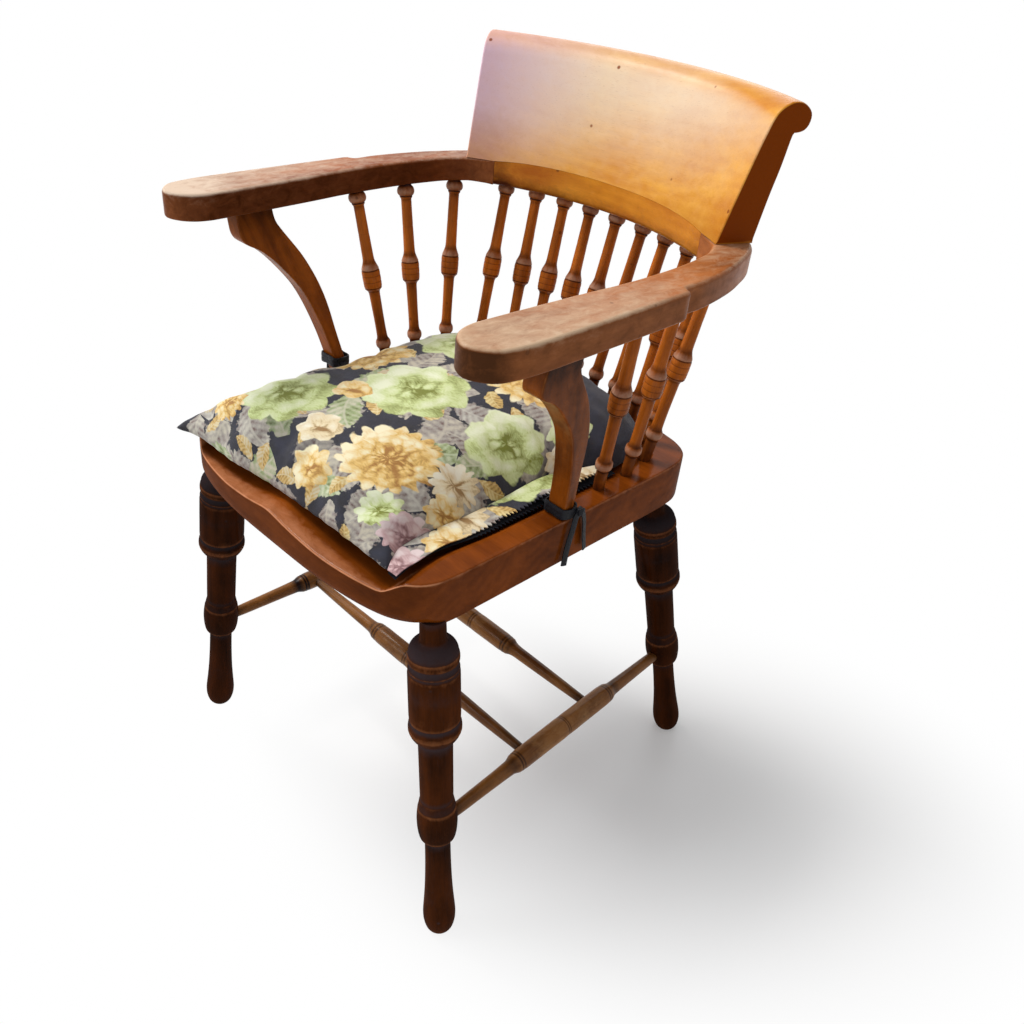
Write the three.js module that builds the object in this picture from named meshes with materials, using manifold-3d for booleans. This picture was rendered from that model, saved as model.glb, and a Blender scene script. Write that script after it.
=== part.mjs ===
// Captain's chair: a turned and sawn hardwood armchair with a low bow of three sawn pieces,
// a rolled crest board on its back, fifteen turned spindles, two sawn arm supports,
// four splayed turned legs tied by stretchers, and a loose cushion held by four ribbons.
// Millimetres, +Z up. +X is the right side seen from the front and +Y runs to the back.

import * as THREE from 'three';
import { mergeVertices } from 'three/addons/utils/BufferGeometryUtils.js';
import Module from 'manifold-3d';

const wasm = await Module();
wasm.setup();

// Driving sizes of the whole chair
const seatHeight = 459;
const armRise = 240;
const crestRise = 132;
const seatHalfWidth = 195.5;
const seatFront = 265;
const seatBack = 199.5;
const bowHalfWidth = 246;
const bowFront = 230;
const footFront = 223.6;
const footBack = 223.6;
const frontFootHalfSpan = 230.5;
const rearFootHalfSpan = 210.8;

// Clearances and overruns
const fit = 0.3;
const overrun = 12;

// Seat plank
const seatThickness = 51;
const seatFrontRound = 16;
const dishDepth = 15;
const dishHalfWidth = 168;
const pommelRise = 12;
const pommelAside = 7;

// Bow: two arms and a back rail of one thickness
const armThickness = 27;
const railWidth = 47;
const railInnerRadius = 322;
const railInnerBack = 194;
const railJointHalfWidth = 150;
const railRise = 5;

// Crest board
const crestHalfWidth = 180;
const crestThickness = 42.3;
const crestLeanBack = 77.3;
const crestFan = THREE.MathUtils.degToRad(25);

// Arm supports
const supportThickness = 23;
const supportFootEdge = 5;
const supportTopEdge = 10.2;
const supportReach = 153;
const supportTenonLength = 18;
const supportTenonWidth = 9;

// Legs
const legRadius = 26.8;
const legTenonRadius = 8.5;
const legTenonLength = 22;
const frontLegTopHalfSpan = 180.5;
const frontLegTopForward = 211.5;
const rearLegTopHalfSpan = 175.8;
const rearLegTopBack = 125.2;

// Stretchers
const stretcherRadius = 12.4;
const stretcherTenonStart = 8;
const stretcherTenonRadius = 6.2;
const crossTenonStart = 4;
const crossTenonRadius = 5.4;

// Spindles
const spindleRadius = 10.8;
const spindleStubRadius = 6.2;
const spindleTenonRadius = 5;
const spindleSeatTenon = 16;
const spindleArmTenon = 11;

// Fixings
const dowelRadius = 4;
const dowelLength = 40;
const screwHeadRadius = 4.6;
const screwHeadLength = 3.4;
const screwShankRadius = 2.2;
const screwLength = 54;
const screwSink = 1.5;

// Cushion and its ribbons
const cushionHalfWidth = 174;
const cushionFront = 256;
const cushionBack = 152;
const cushionCrown = 58;
const cushionSag = 6;
const flangeThickness = 3;
const sideDraw = 5;
const ribbonWidth = 7;
const ribbonThickness = 1.6;
const strapWidth = 4.4;

// Facets
const legSides = 12;
const stretcherSides = 10;
const spindleSides = 8;

const seatUnder = seatHeight - seatThickness;
const armHeight = seatHeight + armRise;
const armUnder = armHeight - armThickness;
const railCentreY = railInnerBack - railInnerRadius;
const bowBack = railInnerBack + railWidth;
const up = new THREE.Vector3(0, 1, 0);

// Materials with the finishes seen on the chair
const wood = (name, color, roughness) => {
  const material = new THREE.MeshStandardMaterial({ color, roughness, metalness: 0 });
  material.name = name;
  return material;
};
const honeyWood = wood('honey_wood', '#c8843c', 0.35);
const armWood = wood('arm_wood', '#a26a42', 0.45);
const seatWood = wood('seat_wood', '#8a431c', 0.4);
const darkWood = wood('dark_wood', '#4a220e', 0.35);
const spindleWood = wood('spindle_wood', '#9a561d', 0.38);
const stretcherWood = wood('stretcher_wood', '#7a4e28', 0.4);
const innerWood = wood('dowel_wood', '#c9a878', 0.7);
const steel = new THREE.MeshStandardMaterial({ color: '#8f8d88', roughness: 0.4, metalness: 1 });
steel.name = 'screw_steel';
const cloth = wood('cushion_cloth', '#3b3d3a', 0.9);
const ribbonCloth = wood('ribbon_cloth', '#101218', 0.8);

const chair = new THREE.Group();

// A closed surface as a solid that can be joined and cut
function solid(geometry) {
  const plain = geometry.clone();
  plain.deleteAttribute('normal');
  plain.deleteAttribute('uv');
  const merged = mergeVertices(plain);
  const vertProperties = new Float32Array(merged.attributes.position.array);
  const triVerts = new Uint32Array(merged.index.array);
  return new wasm.Manifold(new wasm.Mesh({ numProp: 3, vertProperties, triVerts }));
}

function add(name, body, material) {
  const surface = body.getMesh();
  const geometry = new THREE.BufferGeometry();
  geometry.setAttribute('position', new THREE.BufferAttribute(surface.vertProperties, 3));
  geometry.setIndex(new THREE.BufferAttribute(surface.triVerts, 1));
  geometry.computeVertexNormals();
  const mesh = new THREE.Mesh(geometry, material);
  mesh.name = name;
  chair.add(mesh);
}

function vector(x, y, z) {
  return new THREE.Vector3(x, y, z);
}

function mirrored(point, side) {
  return vector(side * point.x, point.y, point.z);
}

// A body of revolution standing on a start point and pointing at an end point.
// Its profile lists distances from the start and radii.
function turned(profile, sides, start, end) {
  const outline = profile.map(([along, radius]) => new THREE.Vector2(radius, along));
  outline.unshift(new THREE.Vector2(0, profile[0][0]));
  outline.push(new THREE.Vector2(0, profile[profile.length - 1][0]));
  const geometry = new THREE.LatheGeometry(outline, sides);
  const direction = end.clone().sub(start).normalize();
  geometry.applyQuaternion(new THREE.Quaternion().setFromUnitVectors(up, direction));
  geometry.translate(start.x, start.y, start.z);
  return solid(geometry);
}

function rod(radius, from, to, sides, start, end) {
  return turned([[from, radius], [to, radius]], sides, start, end);
}

// A body through a row of rings with the same count of points, closed at both ends
function loft(rings, flatOutline) {
  const count = flatOutline.length;
  const positions = rings.flat().flatMap((point) => [point.x, point.y, point.z]);
  const faces = [];
  for (let ring = 0; ring < rings.length - 1; ring += 1) {
    for (let i = 0; i < count; i += 1) {
      const a = ring * count + i;
      const b = ring * count + ((i + 1) % count);
      faces.push(a, b, b + count, a, b + count, a + count);
    }
  }
  const last = (rings.length - 1) * count;
  for (const [a, b, c] of THREE.ShapeUtils.triangulateShape(flatOutline, [])) {
    faces.push(c, b, a, a + last, b + last, c + last);
  }
  const geometry = new THREE.BufferGeometry();
  geometry.setAttribute('position', new THREE.Float32BufferAttribute(positions, 3));
  geometry.setIndex(faces);
  return solid(geometry);
}

// A flat board sawn to an outline in plan, between two heights
function board(outline, low, high) {
  const shape = new THREE.Shape(outline);
  const geometry = new THREE.ExtrudeGeometry(shape, { depth: high - low, bevelEnabled: false });
  geometry.translate(0, 0, low);
  return solid(geometry);
}

// Plan points: a share of a half width, and a share of the reach forward or backward
function planPoints(shares, halfWidth, forward, backward) {
  return shares.map(([x, y]) => new THREE.Vector2(x * halfWidth, y * (y < 0 ? forward : backward)));
}

function smooth(points, steps) {
  return new THREE.SplineCurve(points).getPoints(steps);
}

// The bow in plan: the rail is part of a ring, and the arms run forward from its joints.
// An arm's points are shares of the way out from the joint to the bow's side.
const jointAngle = Math.asin(railJointHalfWidth / railInnerRadius);
const railOuterRadius = railInnerRadius + railWidth;

function ringPoint(radius, angle, height) {
  return vector(radius * Math.sin(angle), railCentreY + radius * Math.cos(angle), height);
}

function bowPoints(shares) {
  return planPoints(shares, bowHalfWidth - railJointHalfWidth, bowFront, bowBack).map((point) => (
    new THREE.Vector2(railJointHalfWidth + point.x, point.y)));
}

// Seat: a thick plank with a convex front, straight sides and a bowed back edge
const seatEdgeShares = [
  [0, -1], [0.293, -0.998], [0.469, -0.99], [0.655, -0.97], [0.8, -0.94], [0.885, -0.904], [0.935, -0.868],
  [0.968, -0.82], [0.982, -0.75], [0.987, -0.62], [0.997, 0], [1, 0.62], [0.983, 0.71], [0.936, 0.79],
  [0.85, 0.845], [0.69, 0.885], [0.49, 0.94], [0.245, 0.985], [0, 1],
];

function seatOutline() {
  const right = planPoints(seatEdgeShares, seatHalfWidth, seatFront, seatBack);
  const left = right.slice(1, -1).reverse().map((point) => new THREE.Vector2(-point.x, point.y));
  return [...right, ...left];
}

// The plank's front is rounded underneath. Shares of the rounding: inset and rise from the underside.
const roundShares = [[1, 0], [0.5, 0.134], [0.134, 0.5], [0, 1]];
const roundStartShare = 0.8;
const roundFullShare = 0.87;

function plank() {
  const outline = seatOutline();
  const inward = outline.map((point, i) => {
    const before = outline[(i + outline.length - 1) % outline.length];
    const after = outline[(i + 1) % outline.length];
    return new THREE.Vector2(before.y - after.y, after.x - before.x).normalize();
  });
  const rings = roundShares.map(([inset, rise]) => outline.map((point, i) => {
    const weight = THREE.MathUtils.smoothstep(-point.y / seatFront, roundStartShare, roundFullShare);
    const place = point.clone().addScaledVector(inward[i], weight * inset * seatFrontRound);
    return vector(place.x, place.y, seatUnder + rise * seatFrontRound);
  }));
  rings.push(outline.map(({ x, y }) => vector(x, y, seatHeight)));
  return loft(rings, outline);
}

// Dish: two scoops that run out through the front edge, with a pommel between them.
// Each section lists its place along the seat, its share of the depth, of the pommel and of the width.
const dishSectionShares = [
  [-1.06, 1, 1, 1.05], [-0.92, 1, 0.85, 1.03], [-0.7, 1, 0.45, 0.965], [-0.5, 1, 0.15, 0.995], [-0.3, 1, 0, 1],
  [0, 0.95, 0, 1], [0.25, 0.75, 0, 1], [0.45, 0.4, 0, 1], [0.6, 0.1, 0, 1], [0.66, 0, 0, 1],
];
const dishAcrossShares = [-1, -0.95, -0.88, -0.45, -0.2, -0.07, 0, 0.07, 0.2, 0.45, 0.88, 0.95, 1];
const dishFloorShares = [0, 0.75, 1, 1, 1, 1, 1, 1, 1, 1, 1, 0.75, 0];
const pommelShares = [0, 0, 0, 0.08, 0.45, 0.8, 1, 0.8, 0.45, 0.08, 0, 0, 0];

function dish() {
  const rings = dishSectionShares.map(([place, depth, pommel, width]) => {
    const y = place * (place < 0 ? seatFront : seatBack);
    const half = width * dishHalfWidth;
    const bottom = dishAcrossShares.map((across, i) => {
      const aside = pommelAside * pommel * (1 - Math.abs(across));
      const drop = dishFloorShares[i] * dishDepth * depth - pommelRise * pommel * pommelShares[i];
      return vector(across * half - aside, y, seatHeight - drop);
    });
    return [...bottom, vector(half, y, seatHeight + overrun), vector(-half, y, seatHeight + overrun)];
  });
  const flat = rings[0].map((point) => new THREE.Vector2(point.x, point.z));
  return loft(rings.reverse(), flat);
}

// Spindle places: where each axis meets the seat top, and the underside of an arm or of the rail.
// Places in the rail are shares of the joint's angle and of the rail's width.
const sideSpindleFootShares = [[0.89, 0.1], [0.89, 0.328], [0.852, 0.538]];
const sideSpindleHeadShares = [[0.5926, -0.0135], [0.5362, 0.266], [0.4157, 0.547]];
const backSpindleFootShares = [[0.7308, 0.708], [0.532, 0.787], [0.3396, 0.808], [0.1688, 0.8246], [0, 0.836]];
const backSpindleHeadShares = [[0.9298, 0.4806], [0.6943, 0.5049], [0.4622, 0.468], [0.2393, 0.4491], [0.0, 0.4257]];

function spindleFeet(shares) {
  return planPoints(shares, seatHalfWidth, seatFront, seatBack).map(({ x, y }) => vector(x, y, seatHeight));
}

const sideFeet = spindleFeet(sideSpindleFootShares);
const backFeet = spindleFeet(backSpindleFootShares);
const sideSpindles = bowPoints(sideSpindleHeadShares).map(({ x, y }, i) => (
  { foot: sideFeet[i], head: vector(x, y, armUnder) }));
const backSpindles = backSpindleHeadShares.map(([turn, across], i) => (
  { foot: backFeet[i], head: ringPoint(railInnerRadius + across * railWidth, turn * jointAngle, armUnder) }));
const spindles = [];
sideSpindles.forEach(({ foot, head }, i) => {
  spindles.push({ name: `spindle_left_${i + 1}`, foot: mirrored(foot, -1), head: mirrored(head, -1) });
  spindles.push({ name: `spindle_right_${i + 1}`, foot, head });
});
backSpindles.forEach(({ foot, head }, i) => {
  const opposite = 2 * backSpindles.length - 1 - i;
  spindles.push({ name: `spindle_back_${i + 1}`, foot: mirrored(foot, -1), head: mirrored(head, -1) });
  if (opposite !== i + 1) spindles.push({ name: `spindle_back_${opposite}`, foot, head });
});

// Turned spindle: stub, foot ring, shaft, barrel with coned shoulders, shaft and bead.
// Shares are of the length between the seat and the bow, and of the largest radius.
const spindleProfileShares = [
  [0.125, 0.59], [0.138, 0.8], [0.158, 0.84], [0.176, 0.76], [0.19, 0.6], [0.3, 0.56],
  [0.456, 0.62], [0.478, 0.94], [0.53, 1], [0.588, 0.94], [0.63, 0.66], [0.76, 0.57], [0.9, 0.56],
  [0.933, 0.6], [0.946, 0.84], [0.966, 0.95], [0.989, 0.74],
];

function spindleLength({ foot, head }) {
  return foot.distanceTo(head);
}

function makeSpindle({ name, foot, head }) {
  const length = spindleLength({ foot, head });
  const body = spindleProfileShares.map(([along, radius]) => [along * length, radius * spindleRadius]);
  const profile = [
    [-spindleSeatTenon, spindleStubRadius], ...body,
    [body[body.length - 1][0], spindleTenonRadius], [length + spindleArmTenon, spindleTenonRadius],
  ];
  add(name, turned(profile, spindleSides, foot, head), spindleWood);
}

function spindleSeatSocket({ foot, head }) {
  return rod(spindleStubRadius + fit, -spindleSeatTenon - fit, overrun, spindleSides, foot, head);
}

function spindleArmSocket({ foot, head }) {
  const length = spindleLength({ foot, head });
  const end = length + spindleArmTenon + fit;
  return rod(spindleTenonRadius + fit, length - overrun, end, spindleSides, foot, head);
}

// Leg axes, from the floor to the underside of the seat
const legs = [];
for (const side of [-1, 1]) {
  const word = side < 0 ? 'left' : 'right';
  legs.push({
    name: `leg_front_${word}`,
    foot: vector(side * frontFootHalfSpan, -footFront, 0),
    head: vector(side * frontLegTopHalfSpan, -frontLegTopForward, seatUnder),
  });
  legs.push({
    name: `leg_rear_${word}`,
    foot: vector(side * rearFootHalfSpan, footBack, 0),
    head: vector(side * rearLegTopHalfSpan, rearLegTopBack, seatUnder),
  });
}

// Turned leg: bulb foot, neck, lower ring, shaft, big ring, drum, groove, collar, shoulder and top neck.
// Shares are of the length between the floor and the seat, and of the largest radius.
const legProfileShares = [
  [-0.02, 0.42], [0, 0.48], [0.0143, 0.58], [0.0439, 0.668], [0.0807, 0.653], [0.1278, 0.597], [0.1717, 0.549],
  [0.2453, 0.511], [0.322, 0.52], [0.3414, 0.69], [0.3649, 0.757], [0.4047, 0.795], [0.4436, 0.765],
  [0.462, 0.672], [0.4906, 0.653], [0.6419, 0.657], [0.6592, 0.74], [0.6786, 0.94], [0.6991, 1],
  [0.7154, 0.94], [0.8381, 0.97], [0.8749, 0.94], [0.885, 0.88], [0.8946, 0.93], [0.9118, 0.925],
  [0.929, 0.89], [0.9424, 0.75], [0.9493, 0.5], [0.991, 0.47],
];

function makeLeg({ name, foot, head }) {
  const length = foot.distanceTo(head);
  const body = legProfileShares.map(([along, radius]) => [along * length, radius * legRadius]);
  const profile = [
    ...body,
    [body[body.length - 1][0], legTenonRadius], [length + legTenonLength, legTenonRadius],
  ];
  const floorSlab = new THREE.BoxGeometry(4 * legRadius, 4 * legRadius, 2 * legRadius);
  floorSlab.translate(foot.x, foot.y, -legRadius);
  let leg = turned(profile, legSides, foot, head).subtract(solid(floorSlab));
  for (const { start, end } of sideStretchers) {
    const near = start.distanceTo(foot) < end.distanceTo(foot) ? [start, end] : [end, start];
    if (near[0].x * foot.x > 0) {
      const hole = rod(stretcherTenonRadius + fit, stretcherTenonStart - fit, 2 * legRadius,
        stretcherSides, near[0], near[1]);
      leg = leg.subtract(hole);
    }
  }
  add(name, leg, darkWood);
}

function legSocket({ foot, head }) {
  const length = foot.distanceTo(head);
  return rod(legTenonRadius + fit, length - overrun, length + legTenonLength + fit, legSides, foot, head);
}

// Side stretchers run from leg to leg through the lower rings, and two cross stretchers
// run between their barrels
const stretcherPlaceShare = 0.3775;
const sideStretchers = ['left', 'right'].map((word) => {
  const [start, end] = ['front', 'rear'].map((row) => {
    const leg = legs.find(({ name }) => name === `leg_${row}_${word}`);
    return leg.foot.clone().lerp(leg.head, stretcherPlaceShare);
  });
  return { name: `stretcher_${word}`, start, end };
});

const crossPlaceShares = [0.346, 0.624];
const crossStretchers = crossPlaceShares.map((place, i) => ({
  name: i === 0 ? 'cross_stretcher_front' : 'cross_stretcher_rear',
  start: sideStretchers[0].start.clone().lerp(sideStretchers[0].end, place),
  end: sideStretchers[1].start.clone().lerp(sideStretchers[1].end, place),
}));

// Half of a stretcher turning: shares of its length and of its largest radius
const sideStretcherShares = [[0.06, 0.5], [0.275, 0.66], [0.292, 0.8], [0.302, 0.95], [0.33, 0.985], [0.5, 1]];
const crossStretcherShares = [[0.038, 0.435], [0.32, 0.64], [0.338, 0.8], [0.35, 0.95], [0.38, 0.985], [0.5, 1]];

function stretcherBody({ start, end }, halfShares, tenonStart, tenonRadius) {
  const length = start.distanceTo(end);
  const half = halfShares.map(([along, radius]) => [along * length, radius * stretcherRadius]);
  const back = half.slice(0, -1).reverse().map(([along, radius]) => [length - along, radius]);
  const profile = [[tenonStart, tenonRadius], ...half, ...back, [length - tenonStart, tenonRadius]];
  return turned(profile, stretcherSides, start, end);
}

function makeStretchers() {
  for (const stretcher of sideStretchers) {
    let body = stretcherBody(stretcher, sideStretcherShares, stretcherTenonStart, stretcherTenonRadius);
    for (const { start, end } of crossStretchers) {
      const near = start.x * stretcher.start.x > 0 ? [start, end] : [end, start];
      const hole = rod(crossTenonRadius + fit, crossTenonStart - fit, 2 * stretcherRadius,
        stretcherSides, near[0], near[1]);
      body = body.subtract(hole);
    }
    add(stretcher.name, body, stretcherWood);
  }
  for (const stretcher of crossStretchers) {
    const body = stretcherBody(stretcher, crossStretcherShares, crossTenonStart, crossTenonRadius);
    add(stretcher.name, body, stretcherWood);
  }
}

// Arm support: a sawn bracket whose board stands front to back and leans outward.
// Outline shares: reach forward along the board, and height between the seat and the arm.
const supportFrontShares = [
  [0.337, 0], [0.376, 0.108], [0.402, 0.192], [0.435, 0.286], [0.484, 0.394], [0.527, 0.474], [0.582, 0.554],
  [0.632, 0.606], [0.71, 0.676], [0.788, 0.737], [0.878, 0.789], [0.933, 0.81], [0.974, 0.831], [0.995, 0.859],
  [1, 0.897], [1, 1],
];
const supportBackShares = [
  [0.719, 1], [0.703, 0.911], [0.665, 0.864], [0.6, 0.798], [0.529, 0.723], [0.467, 0.638], [0.428, 0.573],
  [0.395, 0.502], [0.369, 0.427], [0.34, 0.31], [0.314, 0.216], [0.281, 0.099], [0.255, 0],
];

const supportInset = seatHalfWidth - supportThickness - supportFootEdge;
const supportSlope = (bowHalfWidth - supportTopEdge - supportThickness - supportInset) / (armUnder - seatHeight);

function supportPlate(outline, thin) {
  const shape = new THREE.Shape(outline);
  const depth = supportThickness - 2 * thin;
  const geometry = new THREE.ExtrudeGeometry(shape, { depth, bevelEnabled: false });
  const rise = vector(supportSlope, 0, 1);
  const frame = new THREE.Matrix4().makeBasis(vector(0, -1, 0), rise, vector(-1, 0, 0));
  frame.setPosition(supportInset + supportThickness - thin, 0, seatHeight);
  geometry.applyMatrix4(frame);
  return solid(geometry);
}

function supportOutline() {
  const rise = armUnder - seatHeight;
  const points = [...supportFrontShares, ...supportBackShares];
  return points.map(([reach, height]) => {
    const level = THREE.MathUtils.clamp(height * rise, fit, rise - fit);
    return new THREE.Vector2(reach * supportReach, level);
  });
}

function supportTenon(grow) {
  const middle = supportReach * (supportFrontShares[0][0] + supportBackShares[supportBackShares.length - 1][0]) / 2;
  const half = supportTenonWidth / 2 + grow;
  const low = -supportTenonLength - grow;
  const outline = [
    new THREE.Vector2(middle - half, low), new THREE.Vector2(middle + half, low),
    new THREE.Vector2(middle + half, overrun), new THREE.Vector2(middle - half, overrun),
  ];
  return supportPlate(outline, supportTenonWidth / 2 - grow);
}

function flip(body, side) {
  return side < 0 ? body.mirror([1, 0, 0]) : body;
}

// Arm plan: its inner edge from the rail forward, its rounded end, its pad and its narrower heel
const armKneeShares = [0.127, 0.253];
const armInnerShares = [
  [0.2902, 0.57], [0.3747, 0.5], [0.4286, 0.42], [0.4875, 0.2], [0.4875, -0.1], [0.4362, -0.38], [0.385, -0.79],
];
const armEndShares = [
  [0.3901, -0.87], [0.4491, -0.93], [0.5516, -0.972], [0.7079, -0.99], [0.8719, -0.95], [0.9616, -0.88],
];
const armPadShares = [[1, -0.7], [1, -0.26], [0.9923, 0.045]];
const armHeelShares = [
  [0.8975, 0.08], [0.8975, 0.21], [0.8206, 0.41], [0.7181, 0.556], [0.631, 0.65], [0.4875, 0.745],
];

function armOutline() {
  const gap = fit / railInnerRadius;
  const joint = [railOuterRadius, railInnerRadius].map((radius) => {
    const { x, y } = ringPoint(radius, jointAngle + gap, 0);
    return new THREE.Vector2(x, y);
  });
  const knee = armKneeShares.map((share) => {
    const x = THREE.MathUtils.lerp(railJointHalfWidth, bowHalfWidth, share);
    return new THREE.Vector2(x, railCentreY + Math.sqrt(railInnerRadius ** 2 - x ** 2));
  });
  const inner = smooth([joint[1], ...knee, ...bowPoints(armInnerShares)], 14);
  const end = smooth([inner[inner.length - 1], ...bowPoints(armEndShares), bowPoints(armPadShares)[0]], 9);
  const pad = bowPoints(armPadShares).slice(1);
  const heel = smooth([...bowPoints(armHeelShares), joint[0]], 8);
  return [...inner, ...end.slice(1), ...pad, ...heel];
}

function makeArms() {
  for (const side of [-1, 1]) {
    const word = side < 0 ? 'left' : 'right';
    let arm = flip(board(armOutline(), armUnder, armHeight), side);
    for (const spindle of spindles.filter(({ name }) => name.startsWith(`spindle_${word}`))) {
      arm = arm.subtract(spindleArmSocket(spindle));
    }
    for (const dowel of dowels) arm = arm.subtract(dowelHole(dowel));
    add(`arm_${word}`, arm, armWood);
    const support = supportPlate(supportOutline(), 0).add(supportTenon(0));
    add(`arm_support_${word}`, flip(support, side), spindleWood);
  }
}

// Dowels across each joint of the bow
const dowelPlaceShares = [0.3, 0.7];
const dowelHeightShare = 0.66;
const dowels = [];
for (const side of [-1, 1]) {
  dowelPlaceShares.forEach((place, i) => {
    const height = armUnder + dowelHeightShare * armThickness;
    const centre = ringPoint(railInnerRadius + place * railWidth, jointAngle, height);
    const along = vector(Math.cos(jointAngle), -Math.sin(jointAngle), 0).multiplyScalar(dowelLength / 2);
    dowels.push({
      name: `bow_dowel_${side < 0 ? 'left' : 'right'}_${i + 1}`,
      start: mirrored(centre.clone().sub(along), side),
      end: mirrored(centre.clone().add(along), side),
    });
  });
}

function dowelHole({ start, end }) {
  return rod(dowelRadius + fit, -fit, dowelLength + fit, spindleSides, start, end);
}

// Back rail: a sawn sector of a ring whose top rises a little to the middle
const railSides = 12;

function railBody(lowered, topGap, sideGrow) {
  const rings = [];
  const reach = jointAngle + sideGrow / railInnerRadius;
  for (let i = 0; i <= railSides; i += 1) {
    const share = 2 * (i / railSides) - 1;
    const angle = share * reach;
    const top = armHeight + railRise * (1 - share ** 4) + topGap;
    rings.push([
      ringPoint(railInnerRadius - sideGrow, angle, armUnder + lowered),
      ringPoint(railOuterRadius + sideGrow, angle, armUnder + lowered),
      ringPoint(railOuterRadius + sideGrow, angle, top),
      ringPoint(railInnerRadius - sideGrow, angle, top),
    ]);
  }
  const flat = rings[0].map((point) => new THREE.Vector2(Math.hypot(point.x, point.y), point.z));
  return loft(rings, flat);
}

// Crest screws stand between the spindles and reach up from the rail into the crest board
const screwGapShares = [[1, 2], [3, 4]];
const screwCentreShare = 0.47;
const screws = [];
for (const side of [-1, 1]) {
  screwGapShares.forEach(([a, b]) => {
    const between = backSpindles[a - 1].head.clone().lerp(backSpindles[b - 1].head, 0.5);
    const angle = Math.atan2(between.x, between.y - railCentreY);
    const radius = railInnerRadius + screwCentreShare * railWidth;
    const start = mirrored(ringPoint(radius, angle, armUnder + screwSink), side);
    screws.push({ start, end: start.clone().setZ(start.z + screwLength) });
  });
}
screws.sort((a, b) => a.start.x - b.start.x).forEach((screw, i) => {
  screw.name = `crest_screw_${i + 1}`;
});

function screwProfile(grow, sink, length) {
  return [
    [-sink, screwHeadRadius + grow], [grow, screwHeadRadius + grow],
    [screwHeadLength + grow, screwShankRadius + grow], [length + grow, screwShankRadius + grow],
  ];
}

function makeRail() {
  let rail = railBody(0, 0, 0);
  for (const spindle of spindles.filter(({ name }) => name.startsWith('spindle_back'))) {
    rail = rail.subtract(spindleArmSocket(spindle));
  }
  for (const dowel of dowels) {
    rail = rail.subtract(dowelHole(dowel));
    add(dowel.name, rod(dowelRadius, 0, dowelLength, spindleSides, dowel.start, dowel.end), innerWood);
  }
  for (const { name, start, end } of screws) {
    rail = rail.subtract(turned(screwProfile(fit, screwSink + overrun, screwLength), spindleSides, start, end));
    add(name, turned(screwProfile(0, 0, screwLength), spindleSides, start, end), steel);
  }
  add('back_rail', rail, honeyWood);
}

// Crest board section: shares of the lean back and of the height above the arms,
// up the front face, round the rolled top and down the back
const crestSectionShares = [
  [0, 0], [0.115, 0.24], [0.246, 0.504], [0.344, 0.696], [0.4, 0.795], [0.453, 0.88], [0.51, 0.935],
  [0.6, 0.975], [0.717, 1], [0.84, 0.994], [0.93, 0.965], [1, 0.9], [0.985, 0.842], [0.92, 0.805],
  [0.85, 0.79], [0.795, 0.78], [0.776, 0.745], [0.726, 0.56], [0.652, 0.35],
];
const crestSides = 12;

function makeCrest() {
  const section = crestSectionShares.map(([back, height]) => [back * crestLeanBack, height * crestRise]);
  section.push([crestThickness, 0]);
  section.reverse();
  const rings = [];
  for (let i = 0; i <= crestSides; i += 1) {
    const share = 2 * (i / crestSides) - 1;
    const x = share * crestHalfWidth;
    const y = railCentreY + Math.sqrt(railInnerRadius ** 2 - x ** 2);
    const fan = share * crestFan;
    rings.push(section.map(([back, height]) => vector(
      x + back * Math.sin(fan), y + back * Math.cos(fan), armHeight + fit + height * (crestRise - fit) / crestRise,
    )));
  }
  const flat = section.map(([back, height]) => new THREE.Vector2(back, height));
  let crest = loft(rings, flat).subtract(railBody(overrun, fit, overrun / 2));
  for (const { start, end } of screws) {
    crest = crest.subtract(rod(screwShankRadius + fit, 0, screwLength + fit, spindleSides, start, end));
  }
  add('crest_board', crest, honeyWood);
}

function makeSeat() {
  let seat = plank().subtract(dish());
  for (const spindle of spindles) seat = seat.subtract(spindleSeatSocket(spindle));
  for (const leg of legs) seat = seat.subtract(legSocket(leg));
  for (const side of [-1, 1]) seat = seat.subtract(flip(supportTenon(fit), side));
  add('seat', seat, seatWood);
}

// Cushion: a square filled pad with a flat sewn flange, drawn in along its sides, crowned above
// and sagging a little into the dish. Ring shares: size, crown, sag and roundness.
const cushionEdgeShares = [
  [0, -0.985], [0.5, -0.985], [0.93, -1], [1, -0.985], [0.965, -0.6], [0.942, -0.2], [0.935, 0.2],
  [0.924, 0.5], [0.88, 0.72], [0.775, 0.87], [0.6, 0.96], [0.3, 0.99], [0, 1],
];
const cushionRingShares = [
  [1, 0, 0, 0], [0.88, 0, 0, 0], [0.84, 0.38, 0, 0.03], [0.76, 0.66, 0.1, 0.12], [0.6, 0.87, 0.7, 0.36],
  [0.4, 0.97, 1, 0.8], [0.2, 1, 1, 1],
];

function cushionOutline() {
  const right = smooth(planPoints(cushionEdgeShares, cushionHalfWidth, cushionFront, cushionBack), 22);
  right.forEach((point) => {
    const middle = Math.sin(Math.PI * THREE.MathUtils.clamp((point.y + cushionFront) / cushionFront, 0, 1));
    point.x -= Math.sign(Math.round(point.x)) * sideDraw * middle * (Math.abs(point.x) / cushionHalfWidth) ** 6;
  });
  const left = right.slice(1, -1).reverse().map((point) => new THREE.Vector2(-point.x, point.y));
  return [...right, ...left];
}

const cushionMiddle = (cushionBack - cushionFront) / 2;
const cushionHalfDepth = (cushionBack + cushionFront) / 2;
const flangeUnder = seatHeight + fit;
const flangeTop = flangeUnder + flangeThickness;

function cushionRing(outline, size, roundness, z) {
  return outline.map(({ x, y }) => {
    const angle = Math.atan2((y - cushionMiddle) / cushionHalfDepth, x / cushionHalfWidth);
    const oval = new THREE.Vector2(cushionHalfWidth * Math.cos(angle), cushionHalfDepth * Math.sin(angle));
    const point = new THREE.Vector2(x, y - cushionMiddle).lerp(oval, roundness).multiplyScalar(size);
    return vector(point.x, point.y + cushionMiddle, z);
  });
}

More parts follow.
